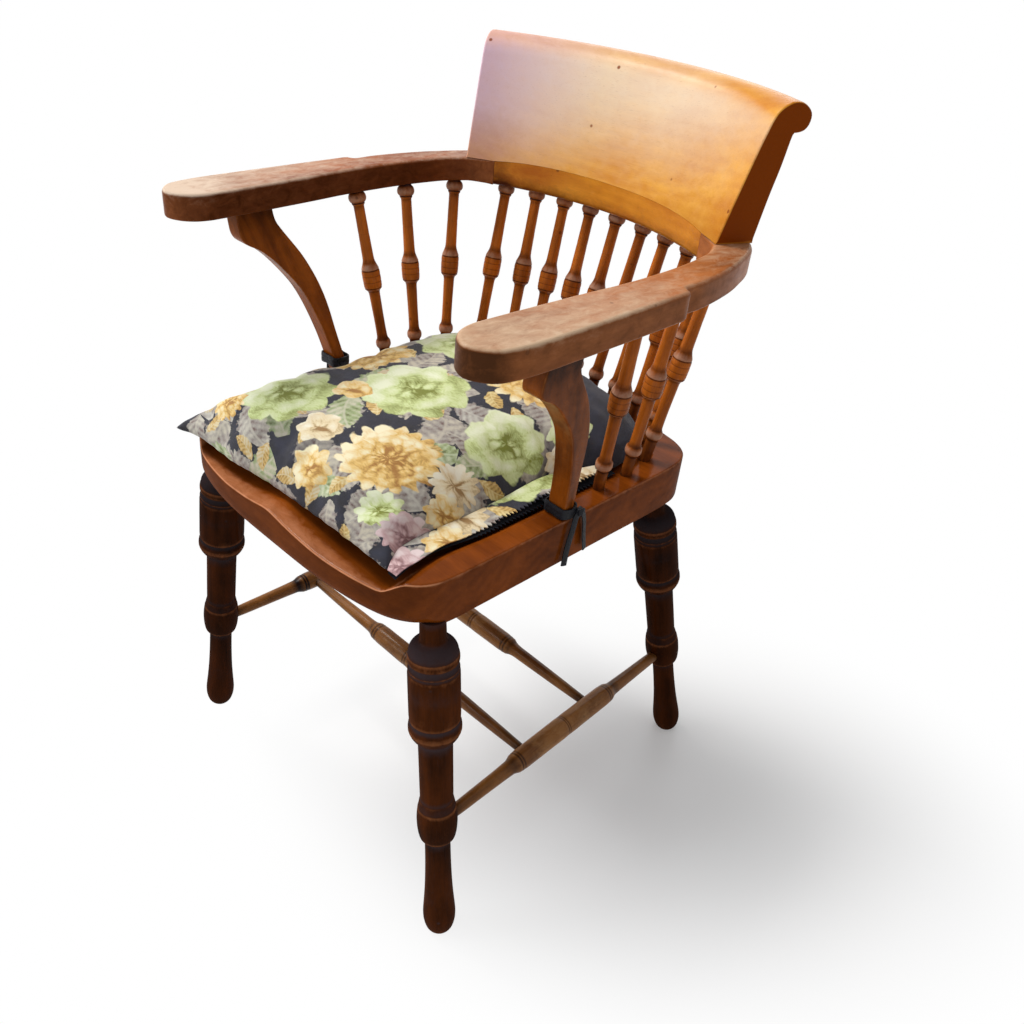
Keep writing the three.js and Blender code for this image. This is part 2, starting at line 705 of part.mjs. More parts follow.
function makeCushion() {
  const outline = cushionOutline();
  const below = [...cushionRingShares].reverse().map(([size, , sag, roundness]) => (
    cushionRing(outline, size, roundness, flangeUnder - sag * cushionSag)));
  const above = cushionRingShares.map(([size, crown, , roundness]) => (
    cushionRing(outline, size, roundness, flangeTop + crown * cushionCrown)));
  const flat = below[0].map((point) => new THREE.Vector2(point.x, point.y));
  add('cushion', loft([...below, ...above], flat), cloth);
}

// Ribbons: a flat band laid along a path, as a chain of short straight runs
function ribbonTile(point, size) {
  const geometry = new THREE.BoxGeometry(size.x, size.y, size.z);
  geometry.translate(point.x, point.y, point.z);
  return solid(geometry);
}

function ribbonRun(points, size) {
  const runs = points.slice(1).map((point, i) => (
    wasm.Manifold.hull([ribbonTile(points[i], size), ribbonTile(point, size)])));
  return wasm.Manifold.union(runs);
}

const standing = vector(ribbonThickness, ribbonThickness, ribbonWidth);
const hanging = vector(ribbonThickness, ribbonWidth, ribbonThickness);
const lying = vector(strapWidth, strapWidth, ribbonThickness);
const knot = vector(ribbonWidth, ribbonWidth, ribbonWidth);

// Front ties: a loop round the arm support, a strap lying on the flange, a knot and two tails
function frontLoop(level) {
  const grow = fit + ribbonThickness / 2;
  const low = level - ribbonWidth / 2;
  const high = level + ribbonWidth / 2;
  const lean = (height) => supportSlope * (height - seatHeight);
  const reachAt = (shares, height) => {
    const share = (height - seatHeight) / (armUnder - seatHeight);
    const next = shares.findIndex(([, place]) => place > share);
    const [[a, from], [b, to]] = [shares[next - 1], shares[next]];
    return supportReach * THREE.MathUtils.mapLinear(share, from, to, a, b);
  };
  const innerX = supportInset + lean(low) - grow;
  const outerX = supportInset + supportThickness + lean(high) + grow;
  const frontY = -reachAt(supportFrontShares, high) - grow;
  const backY = -reachAt([...supportBackShares].reverse(), low) + grow;
  const corners = [[innerX, frontY], [outerX, frontY], [outerX, backY], [innerX, backY], [innerX, frontY]];
  return { innerX, outerX, frontY, backY, loop: corners.map(([x, y]) => vector(x, y, level)) };
}

const loopLift = 6;
const raisedLoopLift = 28;
const strapReach = 18;
const tailDrop = 22;
const tailLength = 54;
const tailSpread = 16;
const sideGap = 1;

function makeFrontTie(side) {
  const level = seatHeight + (side < 0 ? raisedLoopLift : loopLift);
  const { innerX, outerX, frontY, backY, loop } = frontLoop(level);
  const strapY = (frontY + backY) / 2;
  const rest = flangeTop + fit + ribbonThickness / 2;
  const strapX = innerX - (strapWidth - ribbonThickness) / 2;
  const strap = [
    vector(strapX, strapY, level), vector(strapX - strapReach / 2, strapY, rest), vector(strapX - strapReach, strapY, rest),
  ];
  let tie = ribbonRun(loop, standing).add(ribbonRun(strap, lying));
  const knotX = outerX + ribbonWidth / 2;
  tie = tie.add(ribbonTile(vector(knotX, backY, level), knot));
  const fallX = Math.max(outerX, seatHalfWidth + sideGap + ribbonThickness);
  for (const [way, share] of [[-1, 1], [1, 0.8]]) {
    const tail = [
      vector(knotX, backY, level), vector(fallX, backY + way * tailSpread / 2, seatHeight - tailDrop),
      vector(fallX, backY + way * share * tailSpread, seatHeight - share * tailLength),
    ];
    tie = tie.add(ribbonRun(tail, hanging));
  }
  add(`tie_front_${side < 0 ? 'left' : 'right'}`, flip(tie, side), ribbonCloth);
}

// Rear ties: a loop round the foot of a spindle, a strap to the flange and two tails on the seat
const loopSides = 10;
const rearLoopSlack = 1.5;
const rearTailShares = [[1.2, 0.5], [2.2, 0.6], [3, 0.2]];

function makeRearTie(name, spindle) {
  const level = seatHeight + loopLift - fit;
  const centre = spindle.foot.clone().lerp(spindle.head, (level - seatHeight) / (armUnder - seatHeight));
  const radius = spindleStubRadius + fit + ribbonThickness / 2 + rearLoopSlack;
  const inward = vector(-centre.x, cushionMiddle - centre.y, 0).normalize();
  const aside = vector(-inward.y, inward.x, 0);
  const place = (forth, across) => centre.clone().addScaledVector(inward, forth).addScaledVector(aside, across);
  const loop = Array.from({ length: loopSides + 1 }, (_, i) => {
    const angle = 2 * Math.PI * (i / loopSides);
    return place(radius * Math.cos(angle), radius * Math.sin(angle));
  });
  const rest = flangeTop + fit + ribbonThickness / 2;
  const strapStart = radius + (strapWidth - ribbonThickness) / 2;
  const strap = [place(strapStart, 0), place(strapReach, 0).setZ(rest)];
  let tie = ribbonRun(loop, standing).add(ribbonRun(strap, lying));
  for (const way of [-1, 1]) {
    const tail = rearTailShares.map(([across, back]) => place(-back * radius, way * across * radius));
    tie = tie.add(ribbonRun([place(-radius / 2, way * radius), ...tail], standing));
  }
  add(name, tie, ribbonCloth);
}

makeSeat();
legs.forEach(makeLeg);
makeStretchers();
spindles.forEach(makeSpindle);
makeRail();
makeArms();
makeCrest();
makeCushion();
makeFrontTie(-1);
makeFrontTie(1);
makeRearTie('tie_rear_left', spindles.find(({ name }) => name === 'spindle_left_3'));
makeRearTie('tie_rear_right', spindles.find(({ name }) => name === 'spindle_back_6'));

// The origin is on the floor, under the middle of the whole chair
const box = new THREE.Box3().setFromObject(chair);
chair.position.y = -(box.min.y + box.max.y) / 2;

export default chair;
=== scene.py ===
# Captain's chair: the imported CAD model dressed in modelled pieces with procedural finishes.
# Meshes are built in millimetres, in the CAD frame, and brought to metres as each piece is finished.
import functools
import math
import random

import bmesh
import bpy
from mathutils import Matrix, Vector, noise


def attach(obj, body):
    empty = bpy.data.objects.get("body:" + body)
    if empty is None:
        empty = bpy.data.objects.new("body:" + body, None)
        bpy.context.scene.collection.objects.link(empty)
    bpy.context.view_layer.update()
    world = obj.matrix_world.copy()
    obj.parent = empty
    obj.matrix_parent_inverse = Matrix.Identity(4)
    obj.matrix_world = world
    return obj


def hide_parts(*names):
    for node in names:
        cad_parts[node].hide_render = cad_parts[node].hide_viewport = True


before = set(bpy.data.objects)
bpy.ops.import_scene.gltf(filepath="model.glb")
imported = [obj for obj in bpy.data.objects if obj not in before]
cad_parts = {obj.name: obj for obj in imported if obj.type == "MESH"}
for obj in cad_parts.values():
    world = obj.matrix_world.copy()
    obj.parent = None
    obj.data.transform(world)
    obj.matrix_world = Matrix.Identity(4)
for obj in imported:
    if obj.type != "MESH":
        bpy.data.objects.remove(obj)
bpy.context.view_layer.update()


# Camera: above the chair's front right corner and tilted down, with a slight roll,
# at the viewing angle of the photograph.
def stand(name, data):
    made = bpy.data.objects.new(name, data)
    bpy.context.scene.collection.objects.link(made)
    return made


camera_data = bpy.data.cameras.new("camera")
camera_data.sensor_width = 36.0
camera_data.lens = 33.36
camera_data.clip_end = 40.0
camera_place = (0.67064, -0.67061, 0.98149)
turn, rise, roll = (math.radians(angle) for angle in (41.74, 33.75, 5.94))
view_back = Vector((math.sin(turn) * math.cos(rise), -math.cos(turn) * math.cos(rise), math.sin(rise)))
level_right = Vector((math.cos(turn), math.sin(turn), 0.0))
level_up = view_back.cross(level_right)
view_right = math.cos(roll) * level_right + math.sin(roll) * level_up
view_up = math.cos(roll) * level_up - math.sin(roll) * level_right
camera = stand("camera", camera_data)
camera.matrix_world = Matrix.Translation(camera_place) @ Matrix((view_right, view_up, view_back)).transposed().to_4x4()
bpy.context.scene.camera = camera


# Studio: a pale floor that keeps the chair's shadow and fades to white further out, under a soft even sky,
# with one large lamp from the upper left, a cooler panel from the front and a paler one from behind.
def add_node(tree, kind, inputs=None, **settings):
    made = tree.nodes.new(kind if kind.startswith("Node") else "ShaderNode" + kind)
    for key, value in settings.items():
        setattr(made, key, value)
    for key, value in (inputs or {}).items():
        if isinstance(value, bpy.types.NodeSocket):
            tree.links.new(value, made.inputs[key])
        else:
            made.inputs[key].default_value = value
    return made


def vector_step(operation, vector, by):
    return add_node(vector.id_data, "VectorMath", {0: vector, 1: by}, operation=operation).outputs[0]


def bare_tree(owner):
    owner.use_nodes = True
    owner.node_tree.nodes.clear()
    return owner.node_tree


def background_rays(tree):
    rays = add_node(tree, "LightPath").outputs
    seen = rays["Is Camera Ray"]
    for kind in ("Is Glossy Ray", "Is Transmission Ray"):
        seen = add_node(tree, "Math", {0: seen, 1: rays[kind]}, operation="MAXIMUM").outputs[0]
    return seen


def from_bmesh(name, bm, unit=0.001):
    bmesh.ops.scale(bm, vec=(unit, unit, unit), verts=bm.verts)
    data = bpy.data.meshes.new(name)
    bm.to_mesh(data)
    bm.free()
    return stand(name, data)


bm = bmesh.new()
bmesh.ops.create_grid(bm, x_segments=2, y_segments=2, size=14.0)
studio_floor = from_bmesh("studio_floor", bm, unit=1.0)
floor_paint = bpy.data.materials.new("studio_floor")
studio_floor.data.materials.append(floor_paint)
tree = bare_tree(floor_paint)
shadow_centre, shadow_ways = (0.262, 0.12, 0.0), ((0.498, 0.444, 0.0), (0.666, -0.746, 0.0))
floor_shift = vector_step("SUBTRACT", add_node(tree, "TexCoord").outputs["Object"], shadow_centre)
floor_along, floor_across = (
    add_node(tree, "VectorMath", {0: floor_shift, 1: way}, operation="DOT_PRODUCT").outputs["Value"]
    for way in shadow_ways)
floor_oval = add_node(tree, "CombineXYZ", {0: floor_along, 1: floor_across})
floor_reach = add_node(tree, "VectorMath", {0: floor_oval.outputs[0]}, operation="LENGTH").outputs["Value"]
far_away = add_node(tree, "MapRange", {0: floor_reach, 1: 0.03, 2: 0.385, 3: 0.1, 4: 1.0},
                    interpolation_type="SMOOTHSTEP")
far_and_seen = add_node(tree, "Math", {0: far_away.outputs[0], 1: background_rays(tree)}, operation="MULTIPLY")
floor_board = add_node(tree, "BsdfDiffuse", {"Color": (0.95, 0.95, 0.95, 1.0)})
floor_glow = add_node(tree, "Emission", {"Color": (1.0, 1.0, 1.0, 1.0), "Strength": 1.0})
floor_blend = add_node(tree, "MixShader", {
    0: far_and_seen.outputs[0], 1: floor_board.outputs[0], 2: floor_glow.outputs[0]})
add_node(tree, "OutputMaterial", {"Surface": floor_blend.outputs[0]})

studio_world = bpy.data.worlds.new("studio_world")
bpy.context.scene.world = studio_world
tree = bare_tree(studio_world)
sky_strength = add_node(tree, "MapRange", {0: background_rays(tree), 3: 0.42, 4: 1.0})
sky = add_node(tree, "Background", {"Color": (1.0, 1.0, 1.0, 1.0), "Strength": sky_strength.outputs[0]})
add_node(tree, "OutputWorld", {"Surface": sky.outputs[0]})

for name, place, aim, size, power, tint in (
        ("key_lamp", (-1.5, -0.3, 2.6), (0.0, 0.0, 0.45), 0.9, 48.0, (1.0, 0.985, 0.96)),
        ("front_panel", (-1.8, -1.9, 1.9), (0.0, 0.0, 0.65), 1.5, 22.0, (0.95, 0.96, 1.0)),
        ("back_panel", (-1.2, 2.3, 1.9), (0.0, 0.1, 0.6), 1.6, 10.0, (0.92, 0.96, 1.0))):
    lamp_data = bpy.data.lights.new(name, "AREA")
    lamp_data.shape = "DISK"
    lamp_data.size = size
    lamp_data.energy = power
    lamp_data.color = tint
    facing = (Vector(aim) - Vector(place)).to_track_quat("-Z", "Y").to_matrix().to_4x4()
    stand(name, lamp_data).matrix_world = Matrix.Translation(place) @ facing
bpy.context.scene.view_settings.view_transform = "Standard"


# Seat: one thick hardwood plank with a bowed front edge rounded underneath, its top carved into two
# scoops that run out at the front with a pommel between them. Stained brown, varnished and rubbed, with
# painted highlights along the rim and front edges and painted shade on its upright faces, underneath
# and in the scoops under the cushion's edge.
def paint(red, green, blue):
    tints = (red / 255, green / 255, blue / 255)
    return tuple(c / 12.92 if c <= 0.04045 else ((c + 0.055) / 1.055) ** 2.4 for c in tints) + (1.0,)


def shade_group(name, inputs, outputs):
    group = bpy.data.node_groups.new(name, "ShaderNodeTree")
    for label, value in inputs.items():
        kind = "Float" if isinstance(value, float) else "Color" if len(value) == 4 else "Vector"
        group.interface.new_socket(label, in_out="INPUT", socket_type="NodeSocket" + kind).default_value = value
    for label in outputs:
        kind = "Color" if label == "Color" else "Float"
        group.interface.new_socket(label, in_out="OUTPUT", socket_type="NodeSocket" + kind)
    return group


def mapped(value, low, high, start=0.0, end=1.0):
    return add_node(value.id_data, "MapRange", {0: value, 1: low, 2: high, 3: start, 4: end}).outputs[0]


def reckon(operation, first, second=0.5):
    tree = (first if isinstance(first, bpy.types.NodeSocket) else second).id_data
    return add_node(tree, "Math", {0: first, 1: second}, operation=operation).outputs[0]


plus, less, times, over = (
    functools.partial(reckon, operation) for operation in ("ADD", "SUBTRACT", "MULTIPLY", "DIVIDE"))


def blend_paint(share, first, second):
    return add_node(share.id_data, "Mix", {0: share, 6: first, 7: second}, data_type="RGBA").outputs[2]


def grained(vector, scale, detail=3.0, roughness=0.55, distortion=0.0):
    return add_node(vector.id_data, "TexNoise", {
        "Vector": vector, "Scale": scale, "Detail": detail, "Roughness": roughness,
        "Distortion": distortion}).outputs[0]


# Wood finish group: the stain input darkens towards the deep colour and the wear input lightens towards the worn
# colour. Besides real stain, grooves, nicks and wear, several pieces feed painted shade and painted highlights and
# sheen through them.
aged_wood = shade_group("aged_wood", {
    "Grain": (0.0, 0.0, 0.0), "Light": paint(200, 130, 70), "Dark": paint(120, 60, 25), "Deep and shade": paint(30, 20, 20),
    "Worn and sheen": paint(220, 190, 150), "Stain and shade": 0.0, "Wear and sheen": 0.0, "Figure": 1.0, "Nicks": 0.5, "Gloss": 0.3,
    "Scuffs": 1.0}, ("Color", "Roughness", "Height", "Varnish"))
entry = add_node(aged_wood, "NodeGroupInput").outputs
drawn = {share: vector_step("MULTIPLY", entry["Grain"], (1.0, 1.0, share))
         for share in (0.03, 0.08, 0.14, 0.5, 0.05, 0.6)}
fibres = grained(drawn[0.03], 650.0, 4.0, 0.65)
streaks = grained(drawn[0.08], 75.0, 3.0, 0.6, 0.8)
rings = add_node(aged_wood, "TexWave", {
    "Vector": drawn[0.14], "Scale": 22.0, "Distortion": 7.0, "Detail": 3.0, "Detail Scale": 1.4},
    wave_type="RINGS", rings_direction="Z").outputs["Fac"]
blotches = grained(drawn[0.5], 17.0, 4.0, 0.6, 0.4)
pores = mapped(grained(drawn[0.05], 1500.0, 2.0), 0.62, 0.72)
scuffs = grained(drawn[0.6], 90.0, 5.0, 0.7, 0.5)
nick_cells = add_node(aged_wood, "TexVoronoi", {"Vector": entry["Grain"], "Scale": 32.0}).outputs
nick_spots = mapped(nick_cells["Distance"], 0.045, 0.08, 1.0, 0.0)
nick_gate = mapped(add_node(aged_wood, "SeparateColor", {0: nick_cells["Color"]}).outputs[0], 0.4, 0.45)
nicks = times(times(nick_spots, nick_gate), entry["Nicks"])
figure = times(less(plus(times(rings, 0.35), times(streaks, 0.65)), 0.5), entry["Figure"])
tone = plus(plus(mapped(blotches, 0.28, 0.72), figure), mapped(fibres, 0.3, 0.7, -0.12, 0.12))
body_paint = blend_paint(mapped(tone, 0.0, 1.0), entry["Dark"], entry["Light"])
rubbing = plus(0.5, times(less(scuffs, 0.5), entry["Scuffs"]))
worn_and_sheen_share = times(mapped(less(entry["Wear and sheen"], rubbing), -0.3, 0.35), mapped(entry["Wear and sheen"], 0.0, 0.3))
worn_and_sheen_paint = blend_paint(worn_and_sheen_share, body_paint, entry["Worn and sheen"])
stain_and_shade_share = mapped(plus(entry["Stain and shade"], times(less(rubbing, 0.5), 0.8)), 0.12, 0.95)
stained_and_shaded_paint = blend_paint(stain_and_shade_share, worn_and_sheen_paint, entry["Deep and shade"])
dark_marks = reckon("MAXIMUM", nicks, times(pores, 0.22))
marked_paint = blend_paint(dark_marks, stained_and_shaded_paint, entry["Deep and shade"])
rub = plus(plus(entry["Gloss"], mapped(scuffs, 0.35, 0.75, -0.05, 0.12)), times(worn_and_sheen_share, 0.18))
relief = plus(less(times(fibres, 0.35), times(dark_marks, 0.8)), times(scuffs, 0.5))
varnish = less(1.0, reckon("MAXIMUM", stain_and_shade_share, times(worn_and_sheen_share, 0.5)))
add_node(aged_wood, "NodeGroupOutput", {
    "Color": marked_paint, "Roughness": rub, "Height": relief, "Varnish": varnish})


def surface(tree, inputs):
    body = add_node(tree, "BsdfPrincipled", inputs)
    add_node(tree, "OutputMaterial", {"Surface": body.outputs[0]})


# The per-vertex stain and wear attributes hold real stain and wear and, on several pieces, painted shade and painted
# sheen.
def wood_finish(name, light, dark, deep_and_shade, worn_and_sheen, figure, gloss, coat, coat_roughness, specular, nicks=0.5, scuffs=1.0):
    material = bpy.data.materials.new(name)
    tree = bare_tree(material)
    grain, stain_and_shade, wear_and_sheen = (add_node(tree, "Attribute", attribute_name=key).outputs for key in ("grain", "stain_and_shade", "wear_and_sheen"))
    wood = add_node(tree, "Group", {
        "Grain": grain["Vector"], "Stain and shade": stain_and_shade["Fac"], "Wear and sheen": wear_and_sheen["Fac"], "Light": paint(*light),
        "Dark": paint(*dark), "Deep and shade": paint(*deep_and_shade), "Worn and sheen": paint(*worn_and_sheen), "Figure": figure, "Gloss": gloss,
        "Nicks": nicks, "Scuffs": scuffs}, node_tree=aged_wood).outputs
    grip = add_node(tree, "Bump", {"Height": wood["Height"], "Strength": 0.22, "Distance": 0.0005})
    surface(tree, {
        "Base Color": wood["Color"], "Roughness": wood["Roughness"], "Normal": grip.outputs[0],
        "Specular IOR Level": specular, "Coat Weight": times(wood["Varnish"], coat), "Coat Roughness": coat_roughness})
    return material


def curve_through(points, spacing, closed=False):
    knots = [Vector(point) for point in points]
    count = len(knots)
    line = []
    for i in range(count if closed else count - 1):
        a, b, c, d = (knots[j % count] if closed else knots[min(max(j, 0), count - 1)] for j in range(i - 1, i + 3))
        before, span, after = (max((q - p).length, 1e-4) ** 0.5 for p, q in ((a, b), (b, c), (c, d)))
        leave = c - b if a == b else span * ((b - a) / before - (c - a) / (before + span) + (c - b) / span)
        reach = c - b if c == d else span * ((c - b) / span - (d - b) / (span + after) + (d - c) / after)
        steps = max(1, round((c - b).length / spacing))
        for s in range(steps):
            t = s / steps
            line.append(b * (2 * t ** 3 - 3 * t ** 2 + 1) + leave * (t ** 3 - 2 * t ** 2 + t)
                        + c * (3 * t ** 2 - 2 * t ** 3) + reach * (t ** 3 - t ** 2))
    if not closed:
        line.append(knots[-1])
    return line


def reading(table, place):
    if place <= table[0][0]:
        return table[0][1:]
    for low, high in zip(table, table[1:]):
        if place <= high[0]:
            share = (place - low[0]) / (high[0] - low[0])
            return [p + share * (q - p) for p, q in zip(low[1:], high[1:])]
    return table[-1][1:]


def eased(value, low, high):
    share = min(max((value - low) / (high - low), 0.0), 1.0)
    return share * share * (3 - 2 * share)


def start_loop(bm, points):
    loop = [bm.verts.new(point) for point in points]
    for a, b in zip(loop, loop[1:] + loop[:1]):
        bm.edges.new((a, b))
    return loop


def grow_loop(bm, loop, points):
    edges = [bm.edges.get((a, b)) for a, b in zip(loop, loop[1:] + loop[:1])]
    made = bmesh.ops.extrude_edge_only(bm, edges=edges)["geom"]
    fresh = {item for item in made if isinstance(item, bmesh.types.BMVert)}
    grown = []
    for vert, point in zip(loop, points):
        twin = next(edge.other_vert(vert) for edge in vert.link_edges if edge.other_vert(vert) in fresh)
        twin.co = point
        grown.append(twin)
    return grown


def close_loop(bm, loop):
    bmesh.ops.edgeloop_fill(bm, edges=[bm.edges.get(pair) for pair in zip(loop, loop[1:] + loop[:1])])


def skin(bm, loops):
    first, *others = loops
    loop = start_loop(bm, first)
    close_loop(bm, loop)
    for points in others:
        loop = grow_loop(bm, loop, points)
    close_loop(bm, loop)
    return bm


def quarter_turn(steps):
    swings = [step / steps * math.pi / 2 for step in range(steps + 1)]
    return [(1 - math.sin(swing), 1 - math.cos(swing)) for swing in swings]


def outward_sides(points):
    ring = [Vector(point).to_2d() for point in points]
    area = sum(a.x * b.y - b.x * a.y for a, b in zip(ring, ring[1:] + ring[:1]))
    way = 1.0 if area > 0 else -1.0
    sides = []
    for before, after in zip(ring[-1:] + ring[:-1], ring[1:] + ring[:1]):
        step = (after - before).normalized()
        sides.append(Vector((way * step.y, -way * step.x)))
    return sides


def smoothed(piece, angle, material):
    piece.data.shade_smooth()
    piece.data.set_sharp_from_angle(angle=math.radians(angle))
    piece.data.materials.append(material)


def dress(piece, node):
    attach(piece, "root")
    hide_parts(node)


def finish_piece(name, bm, material, node, grain_along, marks=None, angle=38.0, flat_sides=False):
    bmesh.ops.remove_doubles(bm, verts=bm.verts, dist=0.0005)
    bmesh.ops.recalc_face_normals(bm, faces=bm.faces)
    chance = random.Random(name)
    along = Vector(grain_along).normalized()
    aside = along.orthogonal().normalized()
    aside.rotate(Matrix.Rotation(chance.uniform(0.0, math.tau), 3, along))
    across = along.cross(aside)
    shift = Vector((chance.uniform(0.04, 0.16), chance.uniform(0.04, 0.16), chance.uniform(-3.0, 3.0)))
    grain, stain_and_shade, wear_and_sheen = (bm.verts.layers.float_vector.new("grain"), bm.verts.layers.float.new("stain_and_shade"),
                          bm.verts.layers.float.new("wear_and_sheen"))
    bm.normal_update()
    for vert in bm.verts:
        place = vert.co * 0.001
        vert[grain] = Vector((place.dot(aside), place.dot(across), place.dot(along))) + shift
        if marks:
            vert[stain_and_shade], vert[wear_and_sheen] = marks(vert.co, vert.normal)
    piece = from_bmesh(name, bm)
    smoothed(piece, angle, material)
    if flat_sides:
        evening = piece.modifiers.new("even_flats", "WEIGHTED_NORMAL")
        evening.keep_sharp = True
        evening.weight = 100
    dress(piece, node)


seat_top, seat_under = 459.0, 408.0
dish_half_width, dish_depth, pommel_height = 168, 15, 12
seat_half_outline = [
    (0, -268.1), (57.3, -267.6), (91.7, -265.5), (128.1, -260.2), (156.4, -252.2), (173, -242.7), (182.8, -233.2),
    (189.2, -220.4), (192, -201.9), (193, -167.4), (194.9, -3.1), (195.5, 120.5), (192.2, 138.5), (183, 154.5),
    (166.2, 165.4), (134.9, 173.4), (95.8, 184.4), (47.9, 193.4), (0, 196.4)]
dish_table = [
    (-284, 1, 1, 1.05), (-247, 1, 0.85, 1.03), (-188.6, 1, 0.45, 0.965), (-135.6, 1, 0.15, 0.995),
    (-82.6, 1, 0, 1), (-3.1, 0.95, 0, 1), (46.7, 0.75, 0, 1), (86.6, 0.4, 0, 1), (116.5, 0.1, 0, 1), (128.5, 0, 0, 1)]
pommel_table = [(0, 1), (0.07, 0.8), (0.2, 0.45), (0.45, 0.08), (0.88, 0), (1, 0)]


def seat_drop(x, y):
    near = [reading(dish_table, y + step) for step in (-14, -7, 0, 7, 14)]
    depth, pommel, width = (sum(row[i] for row in near) / 5 for i in range(3))
    half_width = dish_half_width * width
    reach = abs(x + 7 * pommel * (1 - min(abs(x / half_width), 1.0))) / half_width
    if reach >= 1.06:
        return 0.0
    wall = eased(1.02 - reach, 0.0, 0.16)
    crown = sum(reading(pommel_table, abs(reach + step))[0] for step in (-0.05, -0.025, 0, 0.025, 0.05)) / 5
    return wall * dish_depth * depth - pommel_height * pommel * crown


seat_ring = curve_through(
    [(x, y, 0) for x, y in seat_half_outline] + [(-x, y, 0) for x, y in seat_half_outline[-2:0:-1]], 5.0, closed=True)
seat_sides = outward_sides(seat_ring)
bowed_front = [eased(-point.y / 265, 0.78, 0.87) for point in seat_ring]
seat_loops = []
for aside, upward in quarter_turn(8):
    points = []
    for point, side, front in zip(seat_ring, seat_sides, bowed_front):
        radius = 1.6 + 14.4 * front
        gap = radius * aside
        points.append(Vector((point.x - side.x * gap, point.y - side.y * gap, seat_under + radius * upward)))
    seat_loops.append(points)
rim_points = [Vector((p.x, p.y, seat_top - seat_drop(p.x, p.y))) for p in seat_ring]
for share in (0.35, 0.7, 1.0):
    seat_loops.append([Vector((p.x, p.y, seat_under + 16 + share * (p.z - 5.5 - seat_under - 16)))
                       for p in rim_points])
for below, inward in quarter_turn(6)[1:]:
    points = []
    for point, side, front in zip(seat_ring, seat_sides, bowed_front):
        lip = 2.4 + 0.6 * front
        gap = lip * inward
        x, y = point.x - side.x * gap, point.y - side.y * gap
        points.append(Vector((x, y, seat_top - seat_drop(x, y) - lip * below)))
    seat_loops.append(points)
seat_middle, seat_rim = Vector((0.0, -20.0, 0.0)), seat_loops[-1]
shrink_steps = [0.985, 0.97, 0.955, 0.94, 0.925, 0.91, 0.895, 0.88, 0.865, 0.85, 0.835, 0.82, 0.8, 0.78, 0.76,
                0.73, 0.7, 0.66, 0.62, 0.57, 0.52, 0.47, 0.42, 0.37, 0.32, 0.27, 0.22, 0.17, 0.12, 0.07, 0.03]
for share in shrink_steps:
    spots = [(seat_middle + (point - seat_middle) * share).to_2d() for point in seat_rim]
    seat_loops.append([Vector((x, y, seat_top - seat_drop(x, y))) for x, y in spots])


# Painted highlights: the rim and front edge masks lighten towards the pale worn colour, and the lip mask is partly real
# wear and partly painted highlight. Painted shade: the upright faces, the underside and the scoops under the cushion's
# edge darken towards the deep colour.
def seat_marks(place, normal):
    rim_highlight = eased(place.z, seat_top - 7, seat_top) * (1 - eased(normal.z, 0.75, 1.0))
    scoop_shade = eased(seat_top - place.z, 4, 12) * eased(normal.z, 0.6, 0.95)
    edge = eased(-place.y, 200, 225) * eased(normal.z, 0.25, 0.5) * (1 - eased(normal.z, 0.72, 0.88))
    lip = eased(-place.y, 236, 262) * eased(normal.z, 0.6, 0.9)
    wear_and_sheen = max(0.35 * rim_highlight, 0.7 * edge, 0.42 * lip)
    upright_shade = 1 - eased(normal.z, 0.1, 0.75)
    front = eased(-normal.y, 0.3, 0.9)
    return (0.34 + 0.12 * front) * upright_shade + 0.5 * scoop_shade * (1 - lip) + 0.22 * eased(-normal.z, 0.2, 0.9), wear_and_sheen


seat_finish = wood_finish("seat_finish", (150, 75, 20), (96, 43, 6), (54, 24, 4), (220, 150, 108),
                          0.5, 0.26, 0.17, 0.15, 0.0, 0.5, 0.5)
finish_piece("seat_plank", skin(bmesh.new(), seat_loops), seat_finish, "seat", (1, 0, 0.02), seat_marks)


